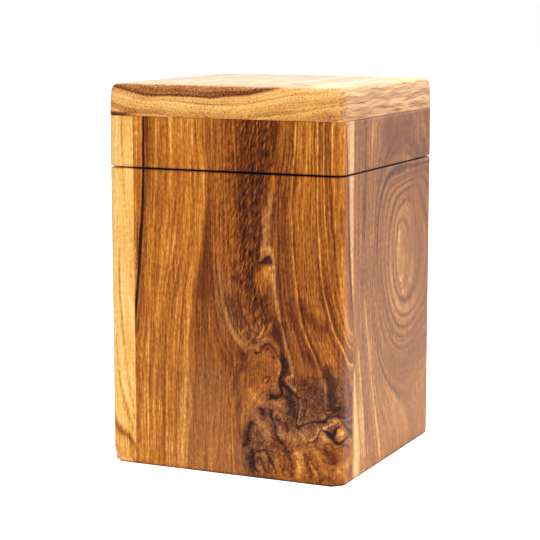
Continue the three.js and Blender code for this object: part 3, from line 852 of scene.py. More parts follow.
LEFT_GUIDES = [
    (-40, [(-42, 167), (-41, 80), (-42, 0)]),
    (-20, [(-20, 167), (-16, 100), (-22, 0)]),
    (0, [(0, 167), (8, 90), (-2, 0)]),
    (22, [(24, 167), (28, 80), (22, 0)]),
    (45, [(44, 167), (46, 80), (45, 0)]),
    (58, [(60, 167), (60, 90), (61.5, 60), (65, 35), (69, 14), (72, 0)]),
    (67, [(67, 167), (66, 110), (68, 70), (72, 40)]),
]
LEFT_STROKES = [
    (0.38, [(63, 170, 14), (63, 80, 13), (62, -3, 13)]),
    (-0.19, [(63, 122, 0.3), (63.6, 95, 0.4), (64, 75, 0.5), (66, 58, 0.6), (68.4, 38, 0.6),
             (71, 22, 0.5)]),
    (-0.16, [(61, 62, 0.4), (63, 42, 0.5), (67, 26, 0.5), (70.4, 16, 0.5)]),
    (-0.08, [(66, 167, 1.0), (66.4, 145, 0.6), (67.4, 120, 0.5)]),
    (-0.34, [(58.6, 25, 0.7), (60.6, 19, 0.9), (63, 16, 1.4), (66, 14.4, 1.2), (69, 11.4, 0.8),
             (72, 7.6, 0.6)]),
    (-0.12, [(60, 17, 2.0), (65, 12, 2.6), (69, 6, 3), (72, 2, 3)]),
    (-0.12, [(60, 8, 2.0), (64, 4, 2.0)]),
    (-0.16, [(6, 167, 2), (12, 90, 3), (4, 0, 3)]),
    (-0.10, [(-24, 167, 3), (-20, 100, 4), (-26, 0, 3)]),
]
BACK_GUIDES = [
    (-36, [(-40, 165), (-34, 100), (-38, 0)]),
    (-14, [(-20, 165), (-14, 110), (-16, 50), (-26, 0)]),
    (0, [(-8, 165), (-3, 120), (2, 98), (7, 120), (12, 165)]),
    (-5, [(-14, 165), (-8, 110), (2, 84), (12, 110), (20, 165)]),
    (-10, [(-12, 60), (2, 68), (14, 60), (24, 90), (30, 165)]),
    (-24, [(-20, 0), (-6, 34), (4, 42), (16, 34), (34, 0)]),
    (-40, [(44, 165), (42, 80), (46, 0)]),
    (-56, [(60, 165), (62, 80), (60, 0)]),
]
BACK_STROKES = [
    (-0.16, [(-14, 165, 1.0), (-8, 110, 1.0), (2, 84, 1.2), (12, 110, 1.0), (20, 165, 1.0)]),
    (-0.12, [(-20, 0, 1.2), (-6, 34, 1.2), (4, 42, 1.2), (16, 34, 1.2), (34, 0, 1.2)]),
    (0.10, [(-34, 165, 5), (-30, 80, 6), (-34, 0, 5)]),
    (0.24, [(66, 168, 6), (67, 80, 5), (68, 0, 4)]),
    (-0.10, [(44, 165, 3), (44, 60, 4), (48, 0, 3)]),
]
print(len(LEFT_STROKES), "strokes on the left board,", len(BACK_STROKES), "on the back board")

# %% [markdown]
# ### Stretching the fields
#
# Each board's marks go into one record, and the field between its guides is stretched once here. The
# walls and the lid's rim read the same record at their own heights, which is why the grain runs on across
# the saw cut.

# %% Stretch the field of every board
FIGURES = {
    "front": dict(
        guides=FRONT_GUIDES, tones=FRONT_TONES, lines=FRONT_LINES, strokes=FRONT_STROKES,
        veins=FRONT_VEINS, feather=FEATHER, stir=STIR, dull=FRONT_DULL, haze=FRONT_HAZE,
    ),
    "right": dict(
        guides=RIGHT_GUIDES, tones=RIGHT_TONES, lines=RIGHT_LINES, strokes=RIGHT_STROKES,
        dull=RIGHT_PAINTED_SHEEN, haze=RIGHT_HAZE,
    ),
    "back": dict(guides=BACK_GUIDES, tones=PLAIN_TONES, lines=PLAIN_LINES, strokes=BACK_STROKES),
    "left": dict(guides=LEFT_GUIDES, tones=PLAIN_TONES, lines=PLAIN_LINES, strokes=LEFT_STROKES),
}
FIELDS = {side: stretch_field(figure["guides"]) for side, figure in FIGURES.items()}
for side, field in FIELDS.items():
    print(f"{side} board: grain field from {field.min():.0f} to {field.max():.0f} mm")

# %% [markdown]
# ### Laying the figure on a mesh
#
# Where the wood is stirred, the drawing itself is pushed about by soft clouds, so that no line stays as
# straight as it was drawn. The wood is also darkened along the saw cut and at the foot of the box. This is
# painted shade in the thin gap between the lid and the case, and a painted contact shadow where the box
# stands.

# %% Store the figure
def store(mesh, name, values):
    """Keep one number per point on the mesh, under a name that the materials can read."""
    attribute = mesh.attributes.new(name, "FLOAT", "POINT")
    attribute.data.foreach_set("value", np.asarray(values, np.float32))


SEAM_HEIGHT = (BODY_HEIGHT + LID_BOTTOM) / 2
# Painted shade: how much darker each board is drawn in the thin gap of the saw cut, and in the contact
# shadow at the foot.
SEAM_SHADE = {
    "front": 0.50,
    "right": 0.30,
    "back": 0.35,
    "left": 0.35,
}
SEAM_REACH = 0.55
FOOT_SHADE, FOOT_REACH = 0.35, 0.7
CALM_SWAY, STIRRED_SWAY = 0.12, 0.9  # how far the clouds push the drawing sideways, in millimetres


def undertone(rows, ring, up):
    """The tone of each ring, read between the two nearest heights."""
    heights = sorted(rows)
    layers = np.array([np.interp(ring, *zip(*rows[height])) for height in heights])
    place = np.interp(up, heights, np.arange(len(heights)))
    below = np.minimum(place.astype(int), len(heights) - 2)
    share = place - below
    spots = np.arange(len(ring))
    return layers[below, spots] * (1 - share) + layers[below + 1, spots] * share


def draw_figure(mesh, side, across, up):
    """Store the board's own coordinates and its figure on the mesh, all in millimetres."""
    figure = FIGURES[side]
    stirred = np.clip(paint(across, up, figure.get("stir", [])), 0, 1)
    sway = CALM_SWAY + STIRRED_SWAY * stirred
    moved = across + sway * (cloud(across, up, 7, 1) + 0.6 * cloud(across, up, 3, 2))
    lifted = up + stirred * (cloud(across, up, 6, 3) + 0.7 * cloud(across, up, 2.5, 4))
    store(mesh, "across", across)
    store(mesh, "up", up)
    ring = read_field(FIELDS[side], moved, lifted)
    # Painted shade in the gap of the saw cut and a painted contact shadow at the foot, taken off the tone.
    painted_shade = SEAM_SHADE[side] * np.exp(-(((up - SEAM_HEIGHT) / SEAM_REACH) ** 2))
    painted_shade += FOOT_SHADE * np.exp(-((up / FOOT_REACH) ** 2))
    store(mesh, "ring", ring)
    drawn = undertone(figure["tones"], ring, up) + paint(moved, lifted, figure["strokes"])
    store(mesh, "tone", drawn - painted_shade)
    store(mesh, "vein", paint(moved, lifted, figure.get("veins", []), 3))
    store(mesh, "feather", np.clip(paint(moved, lifted, figure.get("feather", [])), 0, 1.5))
    store(mesh, "dull", np.clip(paint(across, up, figure.get("dull", [])), 0, 1))
    store(mesh, "haze", np.clip(paint(across, up, figure.get("haze", [])), 0, 1))
    store(mesh, "stir", stirred)


# %% [markdown]
# ## Oiled teak
#
# Teak's colour runs from nearly black heart lines through orange brown to cream sapwood, so one colour
# ramp serves every board, and the figure decides where on the ramp a spot lies: its tone, its thin ring
# lines and its inked veins. A second ramp holds the same browns without their orange, and the `dull` mark
# blends it in.
#
# Layers of noise sit on top. Broad bands and fine lines follow the rings, hairs and flecks run up the
# board, the barbs of the feather slant, and the stirred wood of the burl has swirls, specks and threads
# instead. The pores are short dark dashes along the grain. One noise for all of it would be simpler, but
# each of these has its own direction and size on real teak. The pores and hairs also make the surface
# slightly rough and slightly hollow, so that the light catches them.

# %% Two ramps of teak colours
def srgb(red, green, blue):
    """A paint colour as the eye names it, turned into light."""
    def light(v):
        v /= 255
        return v / 12.92 if v <= 0.04045 else ((v + 0.055) / 1.055) ** 2.4
    return (light(red), light(green), light(blue), 1)


TEAK_COLOURS = [
    (0.00, srgb(30, 14, 7)),
    (0.15, srgb(80, 32, 8)),
    (0.30, srgb(114, 54, 15)),
    (0.45, srgb(151, 84, 28)),
    (0.60, srgb(186, 111, 32)),
    (0.75, srgb(213, 146, 64)),
    (0.90, srgb(239, 187, 104)),
    (1.00, srgb(247, 211, 144)),
]
DULL_COLOURS = [
    (0.00, srgb(28, 20, 18)),
    (0.15, srgb(66, 38, 24)),
    (0.30, srgb(104, 63, 38)),
    (0.45, srgb(141, 92, 58)),
    (0.60, srgb(172, 118, 76)),
    (0.75, srgb(202, 150, 100)),
    (0.90, srgb(232, 190, 140)),
    (1.00, srgb(248, 218, 174)),
]
print(len(TEAK_COLOURS), "warm and", len(DULL_COLOURS), "greyer browns")

# %% Helpers for noise and marks
def ramp(tree, value, colours):
    """Turn a number from 0 to 1 into a colour."""
    made = tree.nodes.new("ShaderNodeValToRGB")
    band = made.color_ramp
    band.elements[0].position, band.elements[0].color = colours[0]
    band.elements[1].position, band.elements[1].color = colours[-1]
    for place, colour in colours[1:-1]:
        band.elements.new(place).color = colour
    put(tree, made.inputs[0], value)
    return made.outputs[0]


def mark(tree, name):
    """Read one of the marks that are stored on the mesh."""
    made = tree.nodes.new("ShaderNodeAttribute")
    made.attribute_name = name
    return made.outputs["Fac"]


def grain_noise(tree, across, along, across_scale, along_scale, detail=3.0, distortion=0.0):
    """Noise stretched along the grain, with its mean at zero and a swing of about half."""
    place = node(
        tree, "ShaderNodeCombineXYZ",
        X=maths(tree, "MULTIPLY", across, across_scale),
        Y=maths(tree, "MULTIPLY", along, along_scale),
    )
    made = node(
        tree, "ShaderNodeTexNoise",
        Vector=place.outputs[0], Scale=1.0, Detail=detail, Distortion=distortion,
    )
    return maths(tree, "SUBTRACT", made.outputs[0], 0.5)


def slanted(tree, across, up, degrees):
    """Coordinates turned by an angle: one along a slanting fibre and one across it."""
    turn = math.radians(degrees)
    along = maths(tree, "ADD", maths(tree, "MULTIPLY", across, math.sin(turn)),
                  maths(tree, "MULTIPLY", up, math.cos(turn)))
    beside = maths(tree, "SUBTRACT", maths(tree, "MULTIPLY", across, math.cos(turn)),
                   maths(tree, "MULTIPLY", up, math.sin(turn)))
    return beside, along


def total(tree, *values):
    """The sum of any number of sockets."""
    result = values[0]
    for value in values[1:]:
        result = maths(tree, "ADD", result, value)
    return result


def times(tree, *values):
    """The product of any number of sockets."""
    result = values[0]
    for value in values[1:]:
        result = maths(tree, "MULTIPLY", result, value)
    return result


OIL_IOR = 1.26  # thin rubbed oil mirrors less than a thick varnish


def finish_wood(tree, colour, roughness, hollow, depth):
    """The satin coat that every wooden piece shares: an oil finish rubbed smooth, with open pores."""
    bump = node(tree, "ShaderNodeBump", Strength=1.0, Distance=depth, Height=hollow)
    shade = node(
        tree, "ShaderNodeBsdfPrincipled",
        Base_Color=colour, Roughness=roughness, IOR=OIL_IOR, Normal=bump.outputs[0],
    )
    output = tree.nodes.new("ShaderNodeOutputMaterial")
    put(tree, output.inputs["Surface"], shade.outputs[0])


def ring_lines(tree, ring, lines):
    """The sum of thin rings, each a soft ridge where the ring coordinate passes its label."""
    ridges = []
    for label, amount, half_width in lines:
        away = maths(tree, "ABSOLUTE", maths(tree, "SUBTRACT", ring, label))
        ridges.append(spread(tree, away, 0.0, 2 * half_width, amount, 0.0))
    return total(tree, *ridges)


COLOUR_A, COLOUR_B, COLOUR_RESULT = 6, 7, 2  # the colour sockets among all those of a mix node


def blend(tree, share, first, second):
    """Mix two colours: a share of 0 gives the first and 1 gives the second."""
    made = node(tree, "ShaderNodeMix", {"data_type": "RGBA"})
    put(tree, made.inputs["Factor"], share)
    put(tree, made.inputs[COLOUR_A], first)
    put(tree, made.inputs[COLOUR_B], second)
    return made.outputs[COLOUR_RESULT]


# %% The teak material
BARB_SLANT = 24  # degrees from upright
TEAK_PORE_DEPTH = 0.00005


def make_teak(name, lines):
    """Oiled teak for one board; lines are its thin rings."""
    teak = bpy.data.materials.new(name)
    tree = new_tree(teak)
    across, up, ring, tone = (mark(tree, key) for key in ("across", "up", "ring", "tone"))
    vein, feather, stir = (mark(tree, key) for key in ("vein", "feather", "stir"))
    dull, haze = (mark(tree, key) for key in ("dull", "haze"))
    calm = maths(tree, "SUBTRACT", maths(tree, "SUBTRACT", 1.0, stir), times(tree, haze, 0.85), clamp=True)
    rough_grain = spread(tree, tone, 0.72, 0.95, 1.0, 0.40)
    quiet = times(tree, rough_grain, maths(tree, "ADD", 0.4, times(tree, calm, 0.6)))
    jitter = grain_noise(tree, across, up, 0.5, 0.10, 3.0)
    shaken = maths(tree, "ADD", ring, times(tree, jitter, 0.9))
    swaying = maths(tree, "ADD", ring, times(tree, jitter, 0.28))
    broad = grain_noise(tree, ring, up, 0.30, 0.006, 2.0)
    fine = grain_noise(tree, shaken, up, 0.95, 0.02, 3.0)
    hair = grain_noise(tree, across, up, 1.3, 0.06, 3.0)
    fleck = grain_noise(tree, across, up, 1.1, 0.40, 3.0)
    ripple = grain_noise(tree, across, up, 0.10, 0.60, 2.0)
    beside, along = slanted(tree, across, up, BARB_SLANT)
    barbs = grain_noise(tree, beside, along, 1.35, 0.22, 3.0, 0.3)
    swirl = grain_noise(tree, ring, up, 0.6, 0.08, 4.0, 0.6)
    specks = grain_noise(tree, across, up, 0.85, 0.85, 4.0, 0.4)
    mottle = grain_noise(tree, across, up, 0.22, 0.22, 4.0, 1.2)
    burl = grain_noise(tree, across, up, 0.13, 0.13, 4.0, 1.2)
    thread = spread(tree, maths(tree, "ABSOLUTE", burl), 0.0, 0.030, 1.0, 0.0)
    pores = spread(tree, grain_noise(tree, across, up, 1.7, 0.20, 2.0), 0.10, 0.22)
    edge = maths(tree, "ADD", vein, times(tree, maths(tree, "ADD", specks, fleck), 1.35))
    inked = times(tree, spread(tree, edge, 0.24, 0.66), vein)
    shade = total(
        tree,
        tone,
        times(tree, ring_lines(tree, swaying, lines), calm),
        times(tree, broad, 0.16),
        times(tree, fine, calm, rough_grain, 0.62),
        times(tree, hair, quiet, 0.62),
        times(tree, fleck, quiet, 0.52),
        times(tree, ripple, calm, 0.10),
        times(tree, barbs, feather, 0.85),
        times(tree, swirl, stir, 0.40),
        times(tree, specks, stir, 0.60),
        times(tree, mottle, stir, 0.45),
        times(tree, thread, stir, -0.16),
        times(tree, inked, -0.40),
        times(tree, pores, maths(tree, "ADD", 0.13, times(tree, stir, 0.10)), -1.0),
    )
    # The dull mark blends in the greyer ramp. On the front board it is the wood's own greyer patches; on
    # the right board it is painted reflection of the white studio.
    tint = maths(tree, "ADD", dull, times(tree, total(tree, mottle, specks), stir, 0.9), clamp=True)
    colour = blend(tree, tint, ramp(tree, shade, TEAK_COLOURS), ramp(tree, shade, DULL_COLOURS))
    roughness = total(tree, 0.38, times(tree, hair, 0.14), times(tree, pores, 0.14))
    hollow = total(tree, times(tree, hair, 0.35), times(tree, pores, -0.6), fine)
    finish_wood(tree, colour, roughness, hollow, TEAK_PORE_DEPTH)
    return teak


TEAK = {side: make_teak(f"teak_{side}", FIGURES[side]["lines"]) for side in FIGURES}
teak = TEAK["left"]  # for the plain pieces inside
print("front teak has", len(TEAK["front"].node_tree.nodes), "nodes")

# %% [markdown]
# ## Boards
#
# All four walls are the same board turned by quarter turns, pinwheel fashion: each covers the end of the
# next, and each ends in a rounded corner. A block with a bevel could pass for a board, but the figure
# needs many points on the outside and few on the inside. So a board is lofted from its outline seen from
# above: the outer chain of points is close together and the inner chain is coarse. The outer top and
# bottom edges are eased by moving the outer chain inwards over the last rows: that is the arris a maker
# sands off.

# %% The outline of a board
ARRIS = 0.5
ARRIS_STEPS = [  # (height, inset) as shares of the arris
    (1.0, 0.0), (0.45, 0.12), (0.12, 0.45), (0.0, 1.0),
]
INNER_POINTS = 36
FEWEST_ARC_POINTS = 10
BOARD_SHARP = 40  # edges that turn by more than this many degrees stay sharp


def board_outline(step, inner_edge):
    """The front board's outer chain (place, inset, distance across, corner share) and its inner chain."""
    centre = HALF - CORNER_RADIUS
    outer = []
    for x in np.linspace(-INSIDE, centre, max(2, round((INSIDE + centre) / step)), endpoint=False):
        outer.append((x, -HALF, 0, 1, x, 0))
    arc_length = CORNER_RADIUS * math.pi / 2
    arc_count = max(FEWEST_ARC_POINTS, round(arc_length / step))
    for turn in np.linspace(0, math.pi / 2, arc_count, endpoint=False):
        outer.append((
            centre + CORNER_RADIUS * math.sin(turn), -centre - CORNER_RADIUS * math.cos(turn),
            -math.sin(turn), math.cos(turn), centre + CORNER_RADIUS * turn, math.sin(2 * turn),
        ))
    for y in np.linspace(-centre, -INSIDE, max(2, round((centre - INSIDE) / step)) + 1):
        outer.append((HALF, y, -1, 0, centre + arc_length + y + centre, 0))
    inner = [(HALF, -INSIDE)] if inner_edge == INSIDE else [(HALF, -INSIDE), (inner_edge, -INSIDE)]
    inner += [(x, -inner_edge) for x in np.linspace(inner_edge, -INSIDE, INNER_POINTS)]
    return outer, inner


def zip_chains(first, second):
    """Triangles between two chains of vertices that start side by side and end in the same vertex."""
    faces = []
    i = j = 0
    while i < len(first) - 1 or j < len(second) - 1:
        ahead_first = (i + 1) / (len(first) - 1)
        ahead_second = (j + 1) / (len(second) - 1)
        if j >= len(second) - 1 or (i < len(first) - 1 and ahead_first <= ahead_second):
            faces.append((first[i], first[i + 1], second[j]))
            i += 1
        else:
            faces.append((first[i], second[j + 1], second[j]))
            j += 1
    return [face for face in faces if len(set(face)) == 3]


def new_piece(name, points, faces, flat_faces=()):
    """A mesh object from points in millimetres; faces are smooth, flat_faces are not."""
    mesh = bpy.data.meshes.new(name)
    mesh.from_pydata([tuple(np.asarray(p) * MM) for p in points], [], [*faces, *flat_faces])
    mesh.polygons.foreach_set("use_smooth", [True] * len(faces) + [False] * len(flat_faces))
    mesh.set_sharp_from_angle(angle=math.radians(BOARD_SHARP))
    piece = bpy.data.objects.new(name, mesh)
    bpy.context.scene.collection.objects.link(piece)
    return piece


# %% Loft a board and lay its figure on
CORNER_EASE = {
    "front": 1.2,
    "right": 0.8,
    "back": 1.0,
    "left": 2.6,
}
GROOVE_LOW, GROOVE_HIGH = base_low.z, base_high.z
GROOVE_LIP = 0.05  # half the height of the steep step at each side of the groove
ROW_GAP = 0.2


def wall_rows(low, high, step, grooved):
    """Heights of the rows with the inset of the outer chain and how far the groove cuts in."""
    rows = [(low + ARRIS * h, ARRIS * i, 0.0) for h, i in reversed(ARRIS_STEPS)]
    count = max(2, round((high - low - 2 * ARRIS) / step))
    middle = list(np.linspace(low + ARRIS, high - ARRIS, count + 1)[1:-1])
    if grooved:
        edges = [z + lip for z in (GROOVE_LOW, GROOVE_HIGH) for lip in (-GROOVE_LIP, GROOVE_LIP)]
        middle = sorted([z for z in middle if all(abs(z - e) > ROW_GAP for e in edges)] + edges)
    for z in middle:
        cut = GROOVE_DEPTH if grooved and GROOVE_LOW < z < GROOVE_HIGH else 0.0
        rows.append((z, 0.0, cut))
    rows += [(high - ARRIS * h, ARRIS * i, 0.0) for h, i in ARRIS_STEPS]
    return rows


def worn_in(side, z):
    """How far a rounded corner is worn in near the foot of the box."""
    ease = CORNER_EASE[side]
    return ease * max(0.0, 1 - z / (3 * ease)) ** 2


def make_board(name, side, turns, low, high, step, inner_edge, grooved=False):
    """Loft a board up through its rows, turn it into place and draw its figure on it."""
    outer, inner = board_outline(step, inner_edge)
    rows = wall_rows(low, high, step, grooved)
    angle = turns * math.pi / 2
    spin = np.array([[math.cos(angle), -math.sin(angle)], [math.sin(angle), math.cos(angle)]]).round()
    points, across, up = [], [], []
    for z, inset, cut in rows:
        soft = worn_in(side, z) if grooved else 0.0
        for x, y, dx, dy, s, corner in outer:
            push = inset + soft * corner
            points.append((x + dx * push, y + dy * push, z))
            across.append(s)
            up.append(z)
        for x, y in inner[1:]:
            deep = cut if x <= INSIDE + GROOVE_DEPTH else 0.0
            points.append((min(x, INSIDE + GROOVE_DEPTH) if deep else x, y - deep, z))
            across.append(x)
            up.append(z)
    ring = len(outer) + len(inner) - 1
    faces = []
    for row in range(len(rows) - 1):
        start = row * ring
        for i in range(ring):
            j = (i + 1) % ring
            faces.append((start + i, start + j, start + ring + j, start + ring + i))
    chain_out = list(range(len(outer)))
    chain_in = [len(outer) - 1 + i for i in range(len(inner))][::-1]
    bottom = [face[::-1] for face in zip_chains(chain_out, chain_in)]
    lift = (len(rows) - 1) * ring
    top = [tuple(i + lift for i in face) for face in zip_chains(chain_out, chain_in)]
    points = np.array(points)
    points[:, :2] = points[:, :2] @ spin.T
    piece = new_piece(name, points, faces, bottom + top)
    draw_figure(piece.data, side, np.array(across), np.array(up))
    piece.data.materials.append(TEAK[side])
    return piece


SIDES = ["front", "right", "back", "left"]
FINENESS = {
    "front": 0.5,
    "right": 0.9,
    "back": 1.4,
    "left": 0.9,
}
for turns, side in enumerate(SIDES):
    step = FINENESS[side]
    wall = make_board(f"{side}_wall", side, turns, 0.0, BODY_HEIGHT, step, INSIDE, grooved=True)
    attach(wall, "case")
    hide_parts(f"wall_{side}")
    rim = make_board(f"{side}_lid_rim", side, turns, LID_BOTTOM, LID_CEILING, step, RELIEVED)
    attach(rim, "lid")
    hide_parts(f"lid_rim_{side}")
    print(f"{side}: wall {len(wall.data.polygons)} faces, lid rim {len(rim.data.polygons)} faces")

# %% [markdown]
# ## The lid's top board
#
# The board on top runs front to back, so its end grain faces the front: the rings are seen end on, as
# flat arcs that rise to the right, with open pores as dots. A dark lens lies along the front's upper
# edge, where the saw just caught the heartwood. The same rings come out of the sides as wavy lines, and
# the rings wave more near the edges than in the middle of the top. The sides and the top are a little
# greyer and lighter than the end grain: painted reflection of the bright back of the studio, which they
# mirror at a low angle.
#
# Here the wood is treated as a solid block. Every noise is read in three directions and stretched front
# to back, so the dots on the front turn into streaks on the sides and the top by themselves, as they do
# in a real board.

# %% The lid board's wood
END_GRAIN_COLOURS = [
    (0.00, srgb(34, 14, 8)),
    (0.25, srgb(98, 50, 22)),
    (0.45, srgb(160, 98, 50)),
    (0.62, srgb(208, 146, 74)),
    (0.80, srgb(236, 184, 108)),
    (1.00, srgb(252, 220, 160)),
]


def solid_noise(tree, axes, scales, detail=3.0, distortion=0.0):
    """Noise read in three directions, each with its own scale per millimetre; its mean is zero."""
    place = node(tree, "ShaderNodeCombineXYZ", **{
        axis: maths(tree, "MULTIPLY", value, scale) for axis, value, scale in zip("XYZ", axes, scales)})
    made = node(
        tree, "ShaderNodeTexNoise",
        Vector=place.outputs[0], Scale=1.0, Detail=detail, Distortion=distortion,
    )
    return maths(tree, "SUBTRACT", made.outputs[0], 0.5)


END_PORE_DEPTH = 0.00008
BOW = 25.0  # how gently the ring arcs bend over at their middle


def millimetres(tree):
    """Where a spot is on the box, in millimetres: across, from front to back, and up."""
    place = tree.nodes.new("ShaderNodeTexCoord").outputs["Object"]
    parts = node(tree, "ShaderNodeSeparateXYZ", Vector=place)
    return [maths(tree, "MULTIPLY", parts.outputs[axis], 1 / MM) for axis in "XYZ"]


def make_lid_teak():
    """Teak seen from its end: rings are nearly flat layers that bow down to both sides."""
    wood = bpy.data.materials.new("lid_board_teak")
    tree = new_tree(wood)
    x, y, z = millimetres(tree)
    off_heart = maths(tree, "ADD", x, 10.0)
    bow = maths(tree, "SQRT", maths(tree, "ADD", times(tree, off_heart, off_heart), BOW**2))
    near_side = spread(tree, maths(tree, "ABSOLUTE", x), 42.0, 57.0)
    near_front = spread(tree, y, -57.0, -38.0, 1.0, 0.0)
    near_edge = maths(tree, "MAXIMUM", near_side, near_front)
    roll = solid_noise(tree, (x, y, z), (0.02, 0.035, 0.05), 2.0)
    wave = times(tree, roll, maths(tree, "ADD", 0.3, times(tree, near_edge, 0.7)))
    ring = total(tree, z, times(tree, maths(tree, "SUBTRACT", bow, BOW), -0.18), times(tree, wave, 9.0))
    broad = solid_noise(tree, (ring, y, x), (0.35, 0.004, 0.006), 2.0)
    fine = solid_noise(tree, (ring, y, x), (1.1, 0.006, 0.012), 3.0)
    waves = solid_noise(tree, (ring, y, x), (0.75, 0.035, 0.02), 3.0, 0.3)
    hair = solid_noise(tree, (x, y, z), (1.2, 0.05, 1.6), 3.0)
    blotch = solid_noise(tree, (x, y, z), (0.05, 0.01, 0.10), 2.0)
    pores = spread(tree, solid_noise(tree, (x, y, z), (1.3, 0.06, 1.3), 2.0), 0.08, 0.20)
    height = maths(tree, "SUBTRACT", ring, times(tree, off_heart, 0.035))
    lens = times(tree, spread(tree, height, 175.6, 176.8), spread(tree, z, 181.0, 182.0, 1.0, 0.2))
    rim = times(tree, lens, spread(tree, height, 176.2, 178.6, 1.0, 0.0))
    low_left = times(tree, spread(tree, z, 168.0, 169.6, 1.0, 0.0), spread(tree, x, -52.0, -42.0, 1.0, 0.0))
    low_right = times(tree, spread(tree, z, 168.5, 174.5, 1.0, 0.0), spread(tree, x, 2.0, 34.0),
                      spread(tree, x, 56.0, 59.0, 1.0, 0.0))
    # Painted reflection: the sides and the top are drawn a little lighter and blended into the greyer ramp,
    # for the sheen of the bright studio that they mirror.
    flank = spread(tree, maths(tree, "ABSOLUTE", x), 57.0, 59.5)
    top = spread(tree, z, 180.6, 181.8)
    shade = total(
        tree,
        0.69,
        times(tree, flank, 0.01),
        times(tree, top, 0.03),
        times(tree, broad, 0.38),
        times(tree, fine, 0.46),
        times(tree, waves, flank, 0.70),
        times(tree, hair, maths(tree, "ADD", 0.58, times(tree, lens, 0.30))),
        times(tree, blotch, 0.30),
        times(tree, pores, -0.20),
        times(tree, low_right, -0.13),
        times(tree, lens, -0.25),
        times(tree, rim, -0.22),
        times(tree, low_left, -0.40),
    )
    painted_sheen = maths(tree, "ADD", times(tree, flank, 0.75), times(tree, top, 0.75), clamp=True)
    colour = blend(tree, painted_sheen, ramp(tree, shade, END_GRAIN_COLOURS), ramp(tree, shade, DULL_COLOURS))
    roughness = total(tree, 0.42, times(tree, hair, 0.15), times(tree, pores, 0.15))
    hollow = total(tree, hair, times(tree, pores, -0.9), times(tree, fine, 0.6))
    finish_wood(tree, colour, roughness, hollow, END_PORE_DEPTH)
    return wood


lid_teak = make_lid_teak()
print("lid board material has", len(lid_teak.node_tree.nodes), "nodes")

# %% Loft the lid board
LID_ROWS = [  # (height above the lid's ceiling, inset)
    (0.0, 0.35), (0.35, 0.0), (5.0, 0.1), (10.0, 0.35), (12.0, 0.65), (13.2, 1.1), (14.1, 1.8),
    (14.7, 2.8), (15.0, 4.2),
]


def rounded_square(half, radius, side_step, corner_steps):
    """Points round a square with rounded corners, anticlockwise, and the direction inwards at each."""
    centre = half - radius
    made = []
    for quarter in range(4):
        turn = quarter * math.pi / 2
        run = np.arange(-centre, centre, side_step)
        local = [(t, -half, 0.0, 1.0) for t in run]
        for angle in np.linspace(0, math.pi / 2, corner_steps, endpoint=False):
            local.append((
                centre + radius * math.sin(angle), -centre - radius * math.cos(angle),
                -math.sin(angle), math.cos(angle),
            ))
        for x, y, dx, dy in local:
            made.append((
                x * math.cos(turn) - y * math.sin(turn), x * math.sin(turn) + y * math.cos(turn),
                dx * math.cos(turn) - dy * math.sin(turn), dx * math.sin(turn) + dy * math.cos(turn),
            ))
    return made


LID_SIDE_STEP, LID_CORNER_STEPS = 2.5, 10


def make_lid_board():
    """Loft the lid board: a closed foot, rows that round over towards the top, and one flat face on top."""
    outline = rounded_square(HALF, CORNER_RADIUS, LID_SIDE_STEP, LID_CORNER_STEPS)
    points = [(x + dx * inset, y + dy * inset, LID_CEILING + height)
              for height, inset in LID_ROWS for x, y, dx, dy in outline]
    count = len(outline)
    faces = []
    for row in range(len(LID_ROWS) - 1):
        start = row * count
        for i in range(count):
            j = (i + 1) % count
            faces.append((start + i, start + j, start + count + j, start + count + i))
    last = (len(LID_ROWS) - 1) * count
    faces.append(tuple(range(last, last + count)))
    board = new_piece("lid_board", points, faces, [tuple(range(count))[::-1]])
    board.data.materials.append(lid_teak)
    return board


lid_board = make_lid_board()
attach(lid_board, "lid")
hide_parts("lid_top")
print("lid board:", len(lid_board.data.polygons), "faces")

# %% [markdown]
# ## The boards inside
#
# The base board, the four lining boards and the two ledges are straight pieces cut with a saw and a
# plane. Each is a block whose arrises are taken off, because a planed board is never quite sharp. The
# lining has a wider bevel along its outer top edge: it leads the lid onto the lining. The lining is a
# pale, plain wood, sanded and waxed.

# %% Pale wood for the lining
LINING_COLOURS = [
    (0.00, srgb(120, 74, 36)),
    (0.30, srgb(182, 128, 76)),
    (0.55, srgb(212, 164, 108)),
    (0.80, srgb(230, 190, 138)),
    (1.00, srgb(244, 214, 170)),
]


def lay_grain(mesh, along, beside, tone=0.5):
    """Store the grain's directions on a straight piece: along is an axis, beside mixes the other two."""
    places = np.empty(len(mesh.vertices) * 3)
    mesh.vertices.foreach_get("co", places)
    places = places.reshape(-1, 3) / MM
    run = places[:, along]
    flank = sum(places[:, axis] * share for axis, share in beside)
    for name, values in (("across", flank), ("up", run), ("ring", flank)):
        store(mesh, name, values)
    plain = {"tone": tone, "vein": 0.0, "feather": 0.0, "stir": 0.0, "dull": 0.3, "haze": 0.0}
    for name, value in plain.items():
        store(mesh, name, np.full(len(flank), value))


def make_lining_wood():
    """Pale, plain wood: straight rings that drift a little, hairs and small pores."""
    wood = bpy.data.materials.new("pale_lining_wood")
    tree = new_tree(wood)
    across, up = mark(tree, "across"), mark(tree, "up")
    drift = times(tree, grain_noise(tree, across, up, 0.03, 0.012, 2.0), 14.0)
    ring = maths(tree, "ADD", across, drift)
    broad = grain_noise(tree, ring, up, 0.25, 0.004, 2.0)
    fine = grain_noise(tree, ring, up, 1.2, 0.02, 3.0)
    hair = grain_noise(tree, across, up, 2.2, 0.08, 2.0)
    pores = spread(tree, grain_noise(tree, across, up, 2.6, 0.2, 2.0), 0.14, 0.26)
    shade = total(
        tree,
        0.60,
        times(tree, broad, 0.7),
        times(tree, fine, 0.5),
        times(tree, hair, 0.3),
        times(tree, pores, -0.2),
    )
    roughness = total(tree, 0.55, times(tree, hair, 0.2))
    hollow = total(tree, hair, times(tree, pores, -0.8))
    finish_wood(tree, ramp(tree, shade, LINING_COLOURS), roughness, hollow, TEAK_PORE_DEPTH)
    return wood


lining_wood = make_lining_wood()

